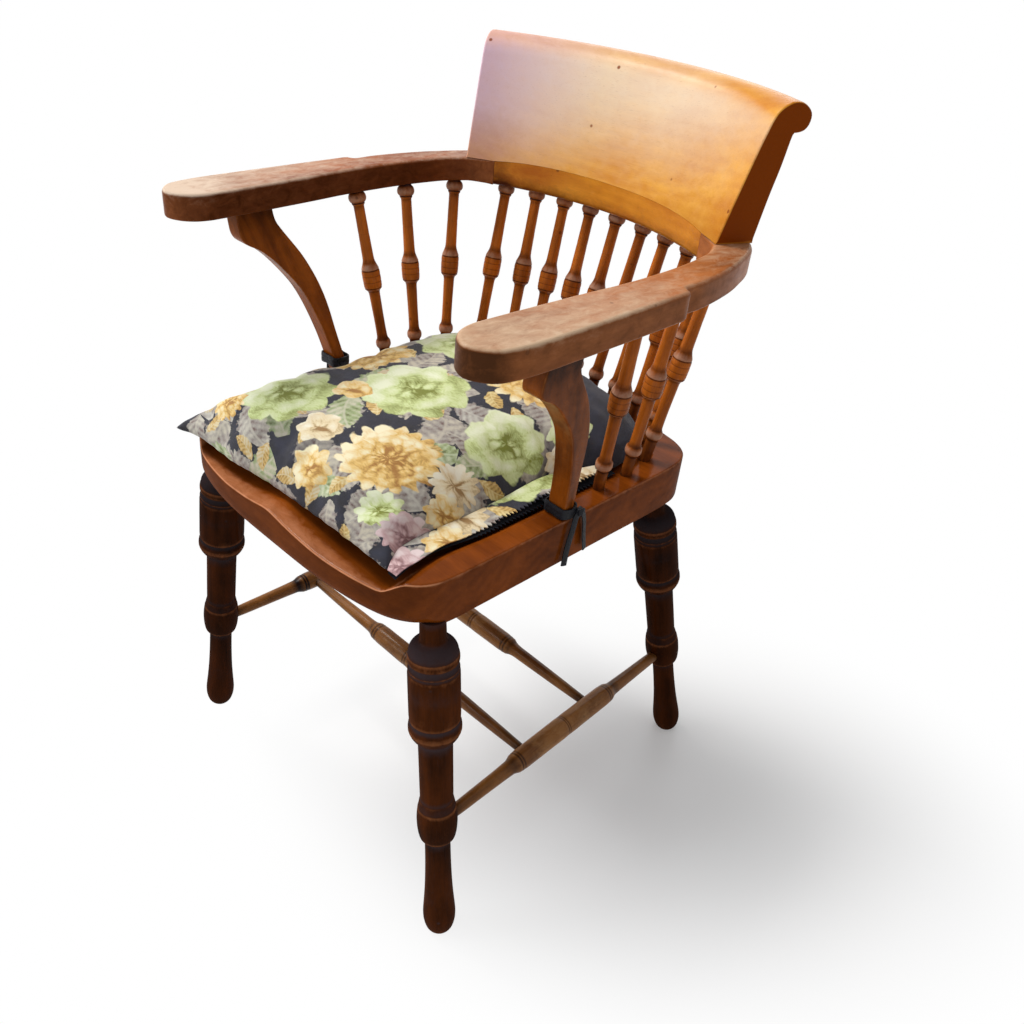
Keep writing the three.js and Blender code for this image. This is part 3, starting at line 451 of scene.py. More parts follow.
# Legs: four turned legs of dark stained hardwood, splayed, their necks let into the seat from below.
# Each has a bulb foot, a lower ring that takes the stretcher, a shaft, a big ring, a drum and a collar.
# The other three take a darker copy of the same finish, a painted shade, and the front right one the lighter.
# Under the lower ring the stain column is a painted shadow. In the coves and on the collar's dome it darkens towards a
# grey slate that is partly dark stain and partly a painted sky reflection. The pale lines at the ring edges are partly
# wear and partly painted highlight.
leg_rows = [
    (0, 11, 0.2, 0.3), (1.5, 12.6, 0.1, 0.4), (5, 14.8, 0, 0.3), (11, 16.6, 0, 0.15), (18, 17.7, 0, 0.12),
    (26, 17.9, 0, 0.1), (33, 17.5, 0.05, 0.05), (52, 16, 0.15, 0), (70, 14.9, 0.1, 0), (100, 13.9, 0, 0),
    (125, 13.6, 0.1, 0), (131, 13.6, 0.35, 0), (135.5, 14.2, 0.7, 0), (138.5, 17.2, 0.3, 0.1),
    (141, 18.9, 0, 0.5), (145, 19.9, 0.1, 0.1), (149, 20.5, 0, 0.05), (156, 21.2, 0, 0.1), (163, 21.4, 0, 0.12),
    (170, 21.2, 0.05, 0.1), (177, 20.5, 0.1, 0.15), (180.5, 20.0, 0, 0.55), (182.5, 19.3, 0.45, 0.1),
    (187, 18.6, 0.35, 0.1), (190.5, 17.8, 0.2, 0.3), (193, 17.3, 0.6, 0), (198, 17.3, 0.1, 0), (225, 17.4, 0, 0),
    (255, 17.5, 0.05, 0), (264, 17.7, 0.5, 0), (268.5, 18.8, 0.85, 0), (272, 21.2, 0.8, 0), (276, 23.9, 0.45, 0),
    (280, 25.8, 0.1, 0.15), (283, 26.7, 0, 0.6), (286, 26.8, 0, 0.45), (290, 26.4, 0.2, 0), (292.6, 25.2, 0.9, 0),
    (294.5, 25.0, 0.9, 0), (296.4, 25.5, 0.1, 0.5), (300, 25.7, 0, 0.2), (318, 25.7, 0, 0.05), (330, 25.7, 0.25, 0),
    (346, 25.6, 0.1, 0.05), (352, 25.5, 0, 0.35), (355, 25.0, 0.8, 0), (356.6, 25.2, 0.2, 0.5), (358.2, 24.2, 0.8, 0),
    (361, 23.5, 1, 0), (363.6, 24.1, 0.9, 0), (365.3, 25, 0.1, 0.35), (369, 25.2, 0, 0.25), (372, 24.9, 0, 0.6),
    (373.4, 24.3, 0.6, 0.1), (376.4, 23.9, 0.9, 0), (380, 22.8, 0.95, 0), (384, 19.8, 0.95, 0),
    (386.6, 15.4, 0.7, 0), (388.5, 13.4, 0.2, 0), (394, 12.9, 0, 0.1), (402, 12.7, 0, 0.1), (406, 12.6, 0.3, 0),
    (410.5, 12.6, 0.6, 0)]
leg_axes = {}
for word, side in (("left", -1), ("right", 1)):
    leg_axes[f"leg_front_{word}"] = (Vector((side * 230.5, -226.7, 0)), Vector((side * 180.5, -214.6, seat_under)))
    leg_axes[f"leg_rear_{word}"] = (Vector((side * 210.8, 220.5, 0)), Vector((side * 175.8, 122.1, seat_under)))


def turned_piece(name, rows, measure, axis, steps, spacing, material, flat_foot=False):
    start, end = axis
    outline = curve_through([(radius, 0, along * measure) for along, radius, stain_and_shade, wear_and_sheen in rows], spacing)
    bm = bmesh.new()
    line = [bm.verts.new((0, 0, outline[0].z))] + [bm.verts.new(point) for point in outline]
    line.append(bm.verts.new((0, 0, outline[-1].z)))
    edges = [bm.edges.new(pair) for pair in zip(line, line[1:])]
    bmesh.ops.spin(bm, geom=line + edges, axis=(0, 0, 1), cent=(0, 0, 0), angle=math.tau, steps=steps,
                   use_merge=True)
    bmesh.ops.remove_doubles(bm, verts=bm.verts, dist=0.001)
    turning = (end - start).to_track_quat("Z", "Y").to_matrix().to_4x4()
    bmesh.ops.transform(bm, matrix=Matrix.Translation(start) @ turning, verts=bm.verts)
    if flat_foot:
        cut = bmesh.ops.bisect_plane(bm, geom=bm.verts[:] + bm.edges[:] + bm.faces[:], plane_co=(0, 0, 0.05),
                                     plane_no=(0, 0, -1), clear_outer=True)
        bmesh.ops.contextual_create(bm, geom=[item for item in cut["geom_cut"]
                                              if isinstance(item, bmesh.types.BMEdge)])
    marks = [(along * measure, stain_and_shade, wear_and_sheen) for along, radius, stain_and_shade, wear_and_sheen in rows]
    direction = (end - start).normalized()
    finish_piece(name + "_turned", bm, material, name, direction,
                 lambda place, normal: reading(marks, (place - start).dot(direction)))


# The grey slate deep colours stand for dark stain, nicks and pores, and for a painted sky reflection in the coves.
leg_finish = wood_finish("leg_finish", (88, 42, 12), (36, 14, 2), (64, 52, 54), (142, 88, 54),
                         0.7, 0.26, 0.05, 0.12, 0.0)
# A copy of the leg finish that is painted darker as shade, for the three legs other than the front right one.
painted_shade_leg_finish = wood_finish("leg_finish_painted_shade", (66, 30, 9), (27, 10, 2), (44, 37, 39), (120, 72, 44),
                            0.7, 0.28, 0.04, 0.14, 0.0)
for name, (foot, head) in leg_axes.items():
    turned_piece(name, leg_rows, (head - foot).length / seat_under, (foot, head), 40, 1.8,
                 leg_finish if name == "leg_front_right" else painted_shade_leg_finish, flat_foot=True)


# Stretchers: two turned side rails from leg to leg and two cross rails between their barrels, all olive
# brown and rubbed, with dark grooves at the barrel ends and darker thin ends. The left rail's barrel is
# painted darker than the rest, as shade.
side_rows = [
    (0.012, 6.2, 0.9, 0), (0.04, 6.3, 0.8, 0), (0.075, 6.9, 0.35, 0), (0.16, 7.5, 0.15, 0.1), (0.25, 8.3, 0.2, 0),
    (0.276, 8.9, 0.6, 0), (0.286, 10.2, 0.4, 0.1), (0.295, 11.5, 0.1, 0.3), (0.3005, 11.5, 0.8, 0),
    (0.304, 11.9, 0.1, 0.2), (0.309, 11.7, 0.75, 0), (0.314, 12.1, 0, 0.2), (0.35, 12.3, 0, 0.25),
    (0.42, 12.4, 0, 0.35), (0.493, 12.4, 0, 0.3), (0.4965, 12.1, 0.7, 0), (0.5, 12.4, 0, 0.3)]
cross_rows = [
    (0.016, 5.4, 0.9, 0), (0.05, 5.6, 0.6, 0), (0.12, 6.4, 0.25, 0), (0.24, 7.5, 0.15, 0.1), (0.315, 8.3, 0.2, 0),
    (0.328, 9.4, 0.6, 0), (0.34, 11.4, 0.1, 0.3), (0.346, 11.4, 0.8, 0), (0.351, 11.9, 0.1, 0.2),
    (0.357, 11.7, 0.75, 0), (0.364, 12.1, 0, 0.2), (0.41, 12.3, 0, 0.25), (0.49, 12.4, 0, 0.3),
    (0.4955, 12.1, 0.7, 0), (0.5, 12.4, 0, 0.3)]
stretcher_level = 154
stretcher_axes = {
    "stretcher_left": (-211.6, -222.2, -197.6, 183.3, side_rows),
    "stretcher_right": (211.6, -222.2, 197.6, 183.3, side_rows),
    "cross_stretcher_front": (-206.8, -81.9, 206.8, -81.9, cross_rows),
    "cross_stretcher_rear": (-202.9, 30.8, 202.9, 30.8, cross_rows)}
stretcher_finish = wood_finish("stretcher_finish", (160, 106, 52), (96, 56, 26), (28, 15, 12), (176, 132, 84),
                               0.8, 0.3, 0.08, 0.16, 0.1)
for name, (start_x, start_y, end_x, end_y, half) in stretcher_axes.items():
    start, end = Vector((start_x, start_y, stretcher_level)), Vector((end_x, end_y, stretcher_level))
    # Painted shade: the left rail's barrel is stained darker where it lies in shade.
    shade = 0.4 if name == "stretcher_left" else 0.0
    rows = [(along, radius, stain_and_shade + shade * (0.27 < along < 0.73), wear_and_sheen)
            for along, radius, stain_and_shade, wear_and_sheen in half + [(1 - row[0], *row[1:]) for row in half[-2::-1]]]
    turned_piece(name, rows, (end - start).length, (start, end), 32, 2.2, stretcher_finish)


# Spindles: fifteen turned spindles between the seat and the bow, honey brown, each with a foot ring,
# a grooved barrel with coned shoulders and a darker bead under the bow. Their rings, cones and beads
# are rubbed to a pinkish grey that is partly wear and partly a painted highlight.
spindle_rows = [
    (-0.02, 6.3, 0.75, 0), (0.0, 6.3, 0.75, 0), (0.018, 6.2, 0.68, 0), (0.05, 6.3, 0.62, 0),
    (0.115, 6.4, 0.65, 0), (0.126, 6.6, 0.9, 0), (0.134, 7.8, 0.5, 0.2), (0.141, 8.7, 0.2, 0.5),
    (0.152, 9.1, 0.1, 0.6), (0.163, 9.0, 0.1, 0.6), (0.174, 8.3, 0.25, 0.4), (0.183, 7.0, 0.7, 0.1),
    (0.193, 6.5, 0.55, 0), (0.22, 6.2, 0.15, 0), (0.3, 6.1, 0, 0), (0.4, 6.4, 0.05, 0), (0.452, 6.7, 0.3, 0),
    (0.462, 7.3, 0.6, 0.1), (0.471, 9.2, 0.4, 0.3), (0.477, 10.2, 0.3, 0.35), (0.4815, 10.1, 0.95, 0),
    (0.486, 10.5, 0.2, 0.2), (0.5, 10.7, 0.15, 0.1), (0.512, 10.8, 0.12, 0.15), (0.5155, 10.6, 0.6, 0),
    (0.519, 10.8, 0.12, 0.15), (0.545, 10.8, 0.12, 0.15), (0.5485, 10.6, 0.6, 0), (0.552, 10.8, 0.12, 0.1),
    (0.574, 10.6, 0.2, 0.15), (0.5795, 10.1, 0.95, 0), (0.585, 10.3, 0.1, 0.6), (0.592, 9.8, 0.15, 0.6),
    (0.606, 8.6, 0.3, 0.45), (0.622, 7.4, 0.6, 0.1), (0.634, 6.9, 0.4, 0.15), (0.65, 6.7, 0.1, 0.05),
    (0.7, 6.5, 0, 0), (0.77, 6.2, 0, 0.05), (0.776, 6.1, 0.25, 0), (0.782, 6.2, 0, 0.15), (0.86, 6.1, 0, 0),
    (0.9, 6.1, 0.1, 0), (0.924, 6.3, 0.5, 0), (0.93, 7.2, 0.2, 0.2), (0.9355, 7.6, 0.7, 0.1), (0.939, 7.4, 1, 0),
    (0.943, 8.6, 0.55, 0.2), (0.951, 9.7, 0.3, 0.5), (0.962, 10.2, 0.2, 0.6), (0.974, 9.9, 0.35, 0.5),
    (0.985, 8.8, 0.6, 0.3), (0.993, 7.3, 0.9, 0), (1.002, 6.2, 1, 0)]
bow_under, bow_top = 672, 699
spindle_places = {}
for i, places in enumerate((
        ((174, 16.8), (206.9, -6.3)), ((174, 62.3), (201.5, 61)), ((166.6, 104.2), (189.9, 128.7)))):
    spindle_places[f"spindle_left_{i + 1}"] = (-1, *places)
    spindle_places[f"spindle_right_{i + 1}"] = (1, *places)
for i, places in enumerate((
        ((142.9, 138.1), (150.1, 179)), ((104, 153.9), (114.1, 195.2)), ((66.4, 158), (76.4, 204.3)),
        ((33, 161.4), (39.7, 209.7)), ((0, 163.6), (0, 210.9)))):
    spindle_places[f"spindle_back_{i + 1}"] = (-1, *places)
    spindle_places[f"spindle_back_{9 - i}"] = (1, *places)
spindle_axes = {name: (Vector((side * foot[0], foot[1], seat_top)), Vector((side * head[0], head[1], bow_under)))
                for name, (side, foot, head) in spindle_places.items()}
# The pinkish grey worn colour on the spindles' rings and beads is partly a painted highlight.
spindle_finish = wood_finish("spindle_finish", (200, 108, 32), (122, 60, 16), (44, 20, 18), (176, 140, 120),
                             0.75, 0.24, 0.1, 0.12, 0.03)
for name, (foot, head) in spindle_axes.items():
    turned_piece(name, spindle_rows, (head - foot).length, (foot, head), 28, 1.6, spindle_finish)


# Back rail: the middle third of the bow, sawn to a curve from one thick board, its top rising slightly
# under the crest board. Honey coloured, with darker eased lower edges and a painted shade over the
# lower part of its left half.
rail_middle, rail_inner = Vector((0.0, -131.15, 0.0)), 322
joint_angle = 0.48458
rail_swell = 5
rail_rows = [(322, 676.5), (322.8, 673.9), (325.5, 672), (365.6, 672), (368.3, 673.2), (369, 676), (369, 687),
             (369, 697.2), (367.4, 699), (345, 699), (322, 699), (322, 688)]
bm = bmesh.new()
swing = Matrix.Rotation(joint_angle, 3, "Z")
loop = start_loop(bm, [rail_middle + swing @ Vector((0, reach, z)) for reach, z in rail_rows])
made = bmesh.ops.spin(bm, geom=loop + bm.edges[:], axis=(0, 0, -1), cent=rail_middle, angle=2 * joint_angle,
                      steps=56, use_merge=False)
close_loop(bm, loop)
bmesh.ops.contextual_create(bm, geom=[item for item in made["geom_last"] if isinstance(item, bmesh.types.BMVert)])


def rail_share(place):
    return min(abs(math.atan2(place.x, place.y - rail_middle.y)) / joint_angle, 1.0)


def rail_rise(place):
    return rail_swell * (1 - rail_share(place) ** 4)


for vert in bm.verts:
    vert.co.z += rail_rise(vert.co) * (vert.co.z - bow_under) / (bow_top - bow_under)


# left_darkening is painted shade over the lower part of the rail's left half. The ends are darker at the joints.
def rail_marks(place, normal):
    low_edge = 1 - eased(place.z, 674, 681)
    end = eased(rail_share(place), 0.78, 1.0)
    left_darkening = 0.34 * eased(-place.x, -20, 140) * (1 - eased(place.z, 672, 692))
    return min(0.5 * low_edge + 0.45 * end * (1 if place.x < 0 else 0.5) + left_darkening, 0.9), 0.12 * (1 - end)


rail_finish = wood_finish("rail_finish", (232, 152, 44), (190, 104, 20), (74, 30, 14), (236, 186, 110),
                          0.5, 0.24, 0.2, 0.24, 0.04, 0.6)
finish_piece("back_rail_sawn", bm, rail_finish, "back_rail", (1, 0, 0), rail_marks)


# Arms: two flat arms sawn from thick boards, dowelled to the rail, each with a round front end,
# a wide pad and a step to a narrower heel. Their tops are rubbed pale and their edges worn round, and
# their upright faces are painted darker as shade, the left arm's most and the right arm's round end too.
arm_inner = [
    (150.3, 153.6), (157.4, 149.7), (165.9, 144.9), (173.7, 140.1), (176.5, 137.2), (179.4, 131.4), (184.9, 120),
    (188.7, 110), (192, 92.4), (196, 58.2), (197.5, 15.5), (196.6, -30.9), (193.4, -70.2), (189.9, -125.9),
    (187, -184.8), (187, -199.1), (190, -211.5), (195.9, -220.8), (204.4, -227.5), (216.2, -231), (229, -225.7),
    (238.3, -216.4), (243.5, -197.3), (246, -164.1), (246, -62.9), (245.3, 4.0)]
arm_step = [(243.2, 9.6), (236.6, 13.4), (236.2, 19.5), (236.7, 37.7), (233.1, 71.3), (226.5, 105.7), (218.9, 130.8),
            (213, 148.1), (204.7, 165.2), (190.8, 181.8), (172.2, 195.2)]


def sawn_board(outline, sides, low, high, low_edge, high_edge, place):
    levels = [(low_edge + 2.5, low)]
    levels += [(low_edge * aside, low + low_edge * upward) for aside, upward in quarter_turn(5)]
    levels += [(high_edge * inward, high - high_edge * below) for below, inward in quarter_turn(5)]
    levels.append((high_edge + 2.5, high))
    return skin(bmesh.new(), (
        [place(p.x - side.x * gap, p.y - side.y * gap, height) for p, side in zip(outline, sides)]
        for gap, height in levels))


# The dark factor is painted shade on the upright faces. It is strongest on the left arm and weaker towards the heel,
# and on the right arm it grows at the round front end.
def arm_marks(place, normal):
    top = eased(normal.z, 0.2, 0.9)
    edge = eased(place.z, 690, 697) * (1 - eased(normal.z, 0.93, 1.0))
    palm = 0.22 * eased(abs(place.x), 228, 244) * eased(-place.y, -40, 60)
    front = eased(-place.y, -60, 210)
    rear = eased(place.y, 60, 130)
    if place.x < 0:
        bare = 0.45 * eased(-place.y, 165, 215)
        dark = 0.8 - 0.3 * rear - 0.2 * eased(-place.y, 190, 225)
    else:
        bare = 0.12 * eased(-place.y, 165, 215)
        dark = 0.52 - 0.42 * rear + 0.42 * eased(-place.y, 196, 224)
        edge *= 1 - 0.7 * eased(-place.y, 190, 220)
    wear_and_sheen = top * (0.22 + 0.14 * rear + 0.28 * front + palm + bare) + 0.3 * edge * (0.3 + 0.7 * front)
    return (1 - eased(normal.z, 0.25, 0.8)) * dark, wear_and_sheen


arm_reach = 246.0
arm_outline = [Vector((min(point.x, arm_reach), point.y, 0)) for line in (arm_inner, arm_step)
               for point in curve_through([(x, y, 0) for x, y in line], 4.0)]
arm_sides = []
for point, way in zip(arm_outline, outward_sides(arm_outline)):
    from_joint = min((point - arm_outline[0]).length, (point - arm_outline[-1]).length)
    arm_sides.append(way * eased(from_joint, 0.0, 9.0))
arm_finishes = {
    -1: wood_finish("arm_finish_left", (176, 104, 58), (120, 60, 26), (72, 32, 8), (214, 190, 168),
                    0.5, 0.32, 0.16, 0.26, 0.03),
    1: wood_finish("arm_finish_right", (190, 114, 62), (132, 72, 34), (84, 50, 28), (214, 182, 150),
                   0.5, 0.34, 0.14, 0.3, 0.03)}
for word, side in (("left", -1), ("right", 1)):
    bm = sawn_board(arm_outline, arm_sides, bow_under, bow_top, 2.4, 4.4, lambda x, y, z: Vector((side * x, y, z)))
    finish_piece(f"arm_{word}_sawn", bm, arm_finishes[side], f"arm_{word}", (0.06 * side, 1, 0),
                 arm_marks, flat_sides=True)


# Arm supports: two sawn brackets that stand front to back, lean outward and flare forward under the arms,
# tenoned into the seat and glued to the arm. The same stained hardwood as the spindles, painted darker
# as shade towards the top under the arm and on the right one's outer face.
support_front = [
    (0.337, 0), (0.376, 0.108), (0.402, 0.192), (0.435, 0.286), (0.484, 0.394), (0.527, 0.474), (0.582, 0.554),
    (0.632, 0.606), (0.71, 0.676), (0.788, 0.737), (0.878, 0.789), (0.933, 0.81), (0.974, 0.831), (0.995, 0.859),
    (1, 0.897), (1, 1)]
support_back = [
    (0.719, 1), (0.703, 0.911), (0.665, 0.864), (0.6, 0.798), (0.529, 0.723), (0.467, 0.638), (0.428, 0.573),
    (0.395, 0.502), (0.369, 0.427), (0.34, 0.31), (0.314, 0.216), (0.281, 0.099), (0.255, 0)]
support_slope, support_gauge, support_inner, support_run = 0.212676, 23, 167.5, 153


# Painted shade: the top factor darkens each support under the arm, and right_cheek_shade darkens the right one's outer
# face.
def support_marks(place, normal):
    top = eased(place.z, 610, 668)
    edge = 1 - eased(max(abs(normal.x), abs(normal.y)), 0.8, 0.97)
    foot = 1 - eased(place.z, seat_top, seat_top + 13)
    right_cheek_shade = 0.24 * eased(normal.x, 0.8, 0.97) if place.x > 0 else 0.0
    return min(0.55 * top * top + 0.5 * foot + 0.1 + right_cheek_shade, 0.9), 0.25 * edge


support_finish = wood_finish("support_finish", (160, 84, 22), (98, 46, 10), (40, 18, 6), (186, 132, 80),
                             0.9, 0.28, 0.08, 0.18, 0.03)
for word, side in (("left", -1), ("right", 1)):
    line, ways = [], []
    for shares, way in ((support_front, -1.0), (support_back, 1.0)):
        edge = curve_through([(-support_run * reach - 3.15, (bow_under - seat_top) * height, 0)
                              for reach, height in shares], 4.0)
        line += edge
        ways += [Vector((way, 0.0))] * len(edge)
    bm = sawn_board(line, ways, 0, support_gauge, 2.2, 2.2, lambda y, rise, x: Vector((
        side * (support_inner + support_slope * rise + x), y, seat_top + rise)))
    finish_piece(f"arm_support_{word}_sawn", bm, support_finish, f"arm_support_{word}",
                 (side * 0.21, -0.35, 1), support_marks, flat_sides=True)


# Crest board: a thick shaped board on top of the rail, curved with it and leaning back, its top rolled
# over into a scroll. Golden honey wood under old varnish, with dark nicks and worn light arrises. Its
# front carries a painted sheen, lilac at the left and pale in the middle and in a band under the roll;
# the roll's underside carries painted shade, and the front is darker at the left end and towards the
# lower right.
crest_foot, crest_top, crest_tall, crest_deep = 699.3, 831, 132, 77.3
crest_half_width, crest_fan = 180, math.radians(25)
crest_section = [
    (0, 0), (0.115, 0.24), (0.246, 0.504), (0.344, 0.696), (0.4, 0.795), (0.453, 0.88), (0.51, 0.935),
    (0.6, 0.975), (0.717, 1), (0.84, 0.994), (0.93, 0.965), (0.985, 0.93), (1, 0.893), (0.985, 0.845), (0.94, 0.81),
    (0.87, 0.793), (0.8, 0.788)]
crest_back = [(0.787, 0.775), (0.776, 0.745), (0.726, 0.56), (0.652, 0.35), (0.547, 0)]


def crest_point(back, height, share):
    x = crest_half_width * share
    y = rail_middle.y + math.sqrt(rail_inner ** 2 - x ** 2)
    fan = share * crest_fan
    place = Vector((x + back * math.sin(fan), y + back * math.cos(fan), 0))
    base = crest_foot + rail_rise(place)
    return Vector((place.x, place.y, base + min(height, 1.0) * (crest_top - base)))


crest_line = [(p.x, p.y / crest_tall) for line, spacing in ((crest_section, 3.2), (crest_back, 5.0))
              for p in curve_through([(crest_deep * b, crest_tall * h, 0) for b, h in line], spacing)]
crest_ways = outward_sides([(back, crest_tall * height, 0) for back, height in crest_line])
crest_stations = [(-1.0, 4.0)] + [(-1 + 0.0105 * inward, 1.9 * below) for below, inward in quarter_turn(5)]
crest_stations += [(-0.985 + 1.97 * i / 46, 0.0) for i in range(1, 46)]
crest_stations += [(-share, gap) for share, gap in crest_stations[6::-1]]
crest_loops = [
    [crest_point(back - way.x * gap, height - way.y * gap / crest_tall * eased(height, 0.0, 0.06), share)
     for (back, height), way in zip(crest_line, crest_ways)] for share, gap in crest_stations]


# On the front face, left_sky_sheen is a painted lilac reflection of the sky, bloom a painted pale sheen in the middle
# and roll_sheen_band a painted sheen under the roll. The under factor is painted shade on the roll's underside.
def crest_marks(place, normal):
    end = eased(abs(normal.x), 0.7, 0.86)
    under = eased(-normal.z, 0.2, 0.8) * eased(place.z, 760, 790)
    low = 1 - eased(place.z, 696, 722)
    left_sky_sheen = (1 - eased(place.x, -215, 10)) * (0.35 + 0.65 * eased(place.z, 690, 760))
    bloom = eased(place.z, 700, 805) * (1 - eased(abs(place.x - 10), 20, 230))
    roll_sheen_band = eased(place.x, -60, 190) * eased(place.z, 770, 808) * (1 - eased(place.z, 806, 830))
    left_darkening = (1 - eased(place.x, -182, -60)) * (1 - eased(abs(place.z - 730), 0, 60))
    low_right_darkening = 0.3 * eased(place.x, 0, 185) * (1 - eased(place.z, 696, 790))
    roll = eased(place.z, 812, 829)
    ahead = (1 - end) * eased(-normal.y, -0.45, 0.25)
    return (1.3 * end + (1 - end) * (0.6 * under + 0.14 * low + 0.22 * roll) + ahead * (0.26 * left_darkening + low_right_darkening),
            0.2 * (1 - end) + ahead * min(0.58 * left_sky_sheen + 0.42 * bloom + 0.14 * roll_sheen_band - 0.24 * roll, 0.6))


crest_finish = wood_finish("crest_finish", (238, 172, 66), (206, 126, 26), (134, 60, 6), (246, 230, 210),
                           0.45, 0.26, 0.3, 0.36, 0.03, 0.9, 0.18)
# The crest's worn colour runs from a lilac painted sky reflection at the left to a pale cream painted sheen.
tree = crest_finish.node_tree
crest_sheen_across = add_node(tree, "SeparateXYZ", {0: add_node(tree, "TexCoord").outputs["Object"]}).outputs[0]
crest_wood = next(node for node in tree.nodes if node.type == "GROUP")
tree.links.new(blend_paint(mapped(crest_sheen_across, -0.2, -0.05), paint(222, 190, 214), paint(248, 232, 208)),
               crest_wood.inputs["Worn and sheen"])
finish_piece("crest_board_rolled", skin(bmesh.new(), crest_loops), crest_finish, "crest_board",
             (1, 0, 0.02), crest_marks, angle=32.0, flat_sides=True)


# Dowels and screws: the hidden hardwood pegs in the bow's joints, and four steel screws that reach up
# through the rail into the crest board. The CAD shapes stay and only take their finish.
peg_finish = bpy.data.materials.new("dowel_finish")
tree = bare_tree(peg_finish)
peg_place = add_node(tree, "TexCoord").outputs["Object"]
peg_fibres = grained(vector_step("MULTIPLY", peg_place, (0.06, 1.0, 1.0)), 900.0, 3.0)
surface(tree, {"Base Color": blend_paint(mapped(peg_fibres, 0.3, 0.7), paint(168, 128, 80), paint(214, 180, 132)),
               "Roughness": mapped(peg_fibres, 0.3, 0.7, 0.55, 0.75)})
screw_finish = bpy.data.materials.new("screw_finish")
tree = bare_tree(screw_finish)
screw_grime = grained(add_node(tree, "TexCoord").outputs["Object"], 420.0, 4.0, 0.65)
surface(tree, {"Base Color": blend_paint(mapped(screw_grime, 0.45, 0.7), paint(150, 146, 140), paint(84, 66, 50)),
               "Roughness": mapped(screw_grime, 0.35, 0.7, 0.32, 0.6), "Metallic": 1.0})
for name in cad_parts:
    for start, finish in (("bow_dowel", peg_finish), ("crest_screw", screw_finish)):
        if name.startswith(start):
            for slot in bpy.data.objects[name].material_slots:
                slot.material = finish


# Cushion: a square cotton pad, filled soft and crowned in the middle, printed with large flowers on a navy
# ground, with a flat crimped flange and its black lining along the right side. It lies loose on the seat,
# held by its four ties.
cushion_front = [(-186, -267), (-151, -257.5), (-96, -255.5), (-28, -248.5), (44, -246), (102, -246), (146, -247)]
cushion_left = [(-186, -267), (-178, -235), (-175, -175), (-171.5, -118), (-167, -66), (-163.2, -14), (-162.4, 27),
                (-161.6, 55), (-160, 76.4), (-156.7, 95.4), (-150.3, 111.2), (-140.6, 123.8)]
cushion_right = [(165, -246), (158.5, -215), (156, -190), (158, -137), (157.5, -92), (158.5, -50), (161.5, -13.7),
                 (162.1, 27.3), (161.6, 55), (160, 76.4), (156.7, 95.4), (150.3, 111.2), (140.6, 123.8)]
cushion_rear = [(-140.6, 123.8), (-127.6, 133.7), (-111.2, 141), (-86.2, 145.2), (-55.2, 147.1), (-24.4, 148.3),
                (24.4, 148.3), (55.2, 147.1), (86.2, 145.2), (111.2, 141), (127.6, 133.7), (140.6, 123.8)]
cushion_seam, cushion_crown, cushion_middle = 461.6, 54, -54.0


def flank_gap(y):
    return 1.5 + 21.5 * (1 - eased(y, -30, 70)) * eased(y, -275, -215)


def run_along(points, share):
    spans = [(Vector(q) - Vector(p)).length for p, q in zip(points, points[1:])]
    place = min(max(share, 0.0), 1.0) * sum(spans)
    for (p, q), span in zip(zip(points, points[1:]), spans):
        if place <= span:
            return Vector(p).lerp(Vector(q), place / span)
        place -= span
    return Vector(points[-1])


pad_right = [(x - flank_gap(y), y) for x, y in cushion_right]
front_line, rear_line, left_line, right_line = (
    [(p.x, p.y) for p in curve_through([(x, y, 0) for x, y in line], 6.0)]
    for line in (cushion_front + pad_right[:1], cushion_rear[:-1] + pad_right[-1:], cushion_left, pad_right))


def pad_spot(u, v):
    across, along = (u + 1) / 2, (v + 1) / 2
    front, rear = run_along(front_line, across), run_along(rear_line, across)
    left, right = run_along(left_line, along), run_along(right_line, along)
    corners = (left_line[0], front_line[-1], left_line[-1], rear_line[-1])
    flat = (front * (1 - along) + rear * along + left * (1 - across) + right * across
            - Vector(corners[0]) * (1 - across) * (1 - along) - Vector(corners[1]) * across * (1 - along)
            - Vector(corners[2]) * (1 - across) * along - Vector(corners[3]) * across * along)
    rise_u, rise_v = max(1 - abs(u) ** 3.2, 0.0), max(1 - abs(v) ** 3.6, 0.0)
    lean = (1 - 0.16 * eased(u, 0.1, 0.9)) * (0.96 + 0.1 * eased(v, -0.4, 0.5))
    return flat, rise_u ** 0.46 * rise_v ** 0.42 * lean, rise_u * rise_v


bm = bmesh.new()
bmesh.ops.create_grid(bm, x_segments=52, y_segments=62, size=1.0)
under_side = bmesh.ops.duplicate(bm, geom=bm.verts[:] + bm.edges[:] + bm.faces[:])["geom"]
below = {item for item in under_side if isinstance(item, bmesh.types.BMVert)}
for vert in bm.verts:
    flat, swell, sink = pad_spot(vert.co.x, vert.co.y)
    rumple = noise.noise(Vector((flat.x * 0.035, flat.y * 0.035, 7.0))) * 2.4 * (1 - swell * 0.6)
    fold = noise.noise(Vector((flat.x * 0.012, flat.y * 0.05, 2.0))) * 1.6
    fold += 1.6 * math.sin(flat.y * 0.21 + 2 * noise.noise(Vector((0, flat.y * 0.03, 5.0)))) * (
        eased(flat.x, 60, 125) * (1 - eased(flat.x, 132, 140)))
    if vert in below:
        rise = -5.2 * min(sink * 2.5, 1.0)
    else:
        rise = cushion_crown * swell + (rumple + fold) * min(swell * 3, 1.0)
    vert.co = Vector((flat.x, flat.y, cushion_seam + rise))
bmesh.ops.remove_doubles(bm, verts=bm.verts, dist=0.01)
bmesh.ops.recalc_face_normals(bm, faces=bm.faces)
cushion_pad = from_bmesh("cushion_pad", bm)
rest_places = [vert.co.copy() for vert in cushion_pad.data.vertices]
seam_level = cushion_seam / 1000
seam_group = cushion_pad.vertex_groups.new(name="seam")
seam_group.add([i for i, place in enumerate(rest_places) if abs(place.z - seam_level) < 0.0001],
               1.0, "REPLACE")
swelling = cushion_pad.modifiers.new("filling", "CLOTH")
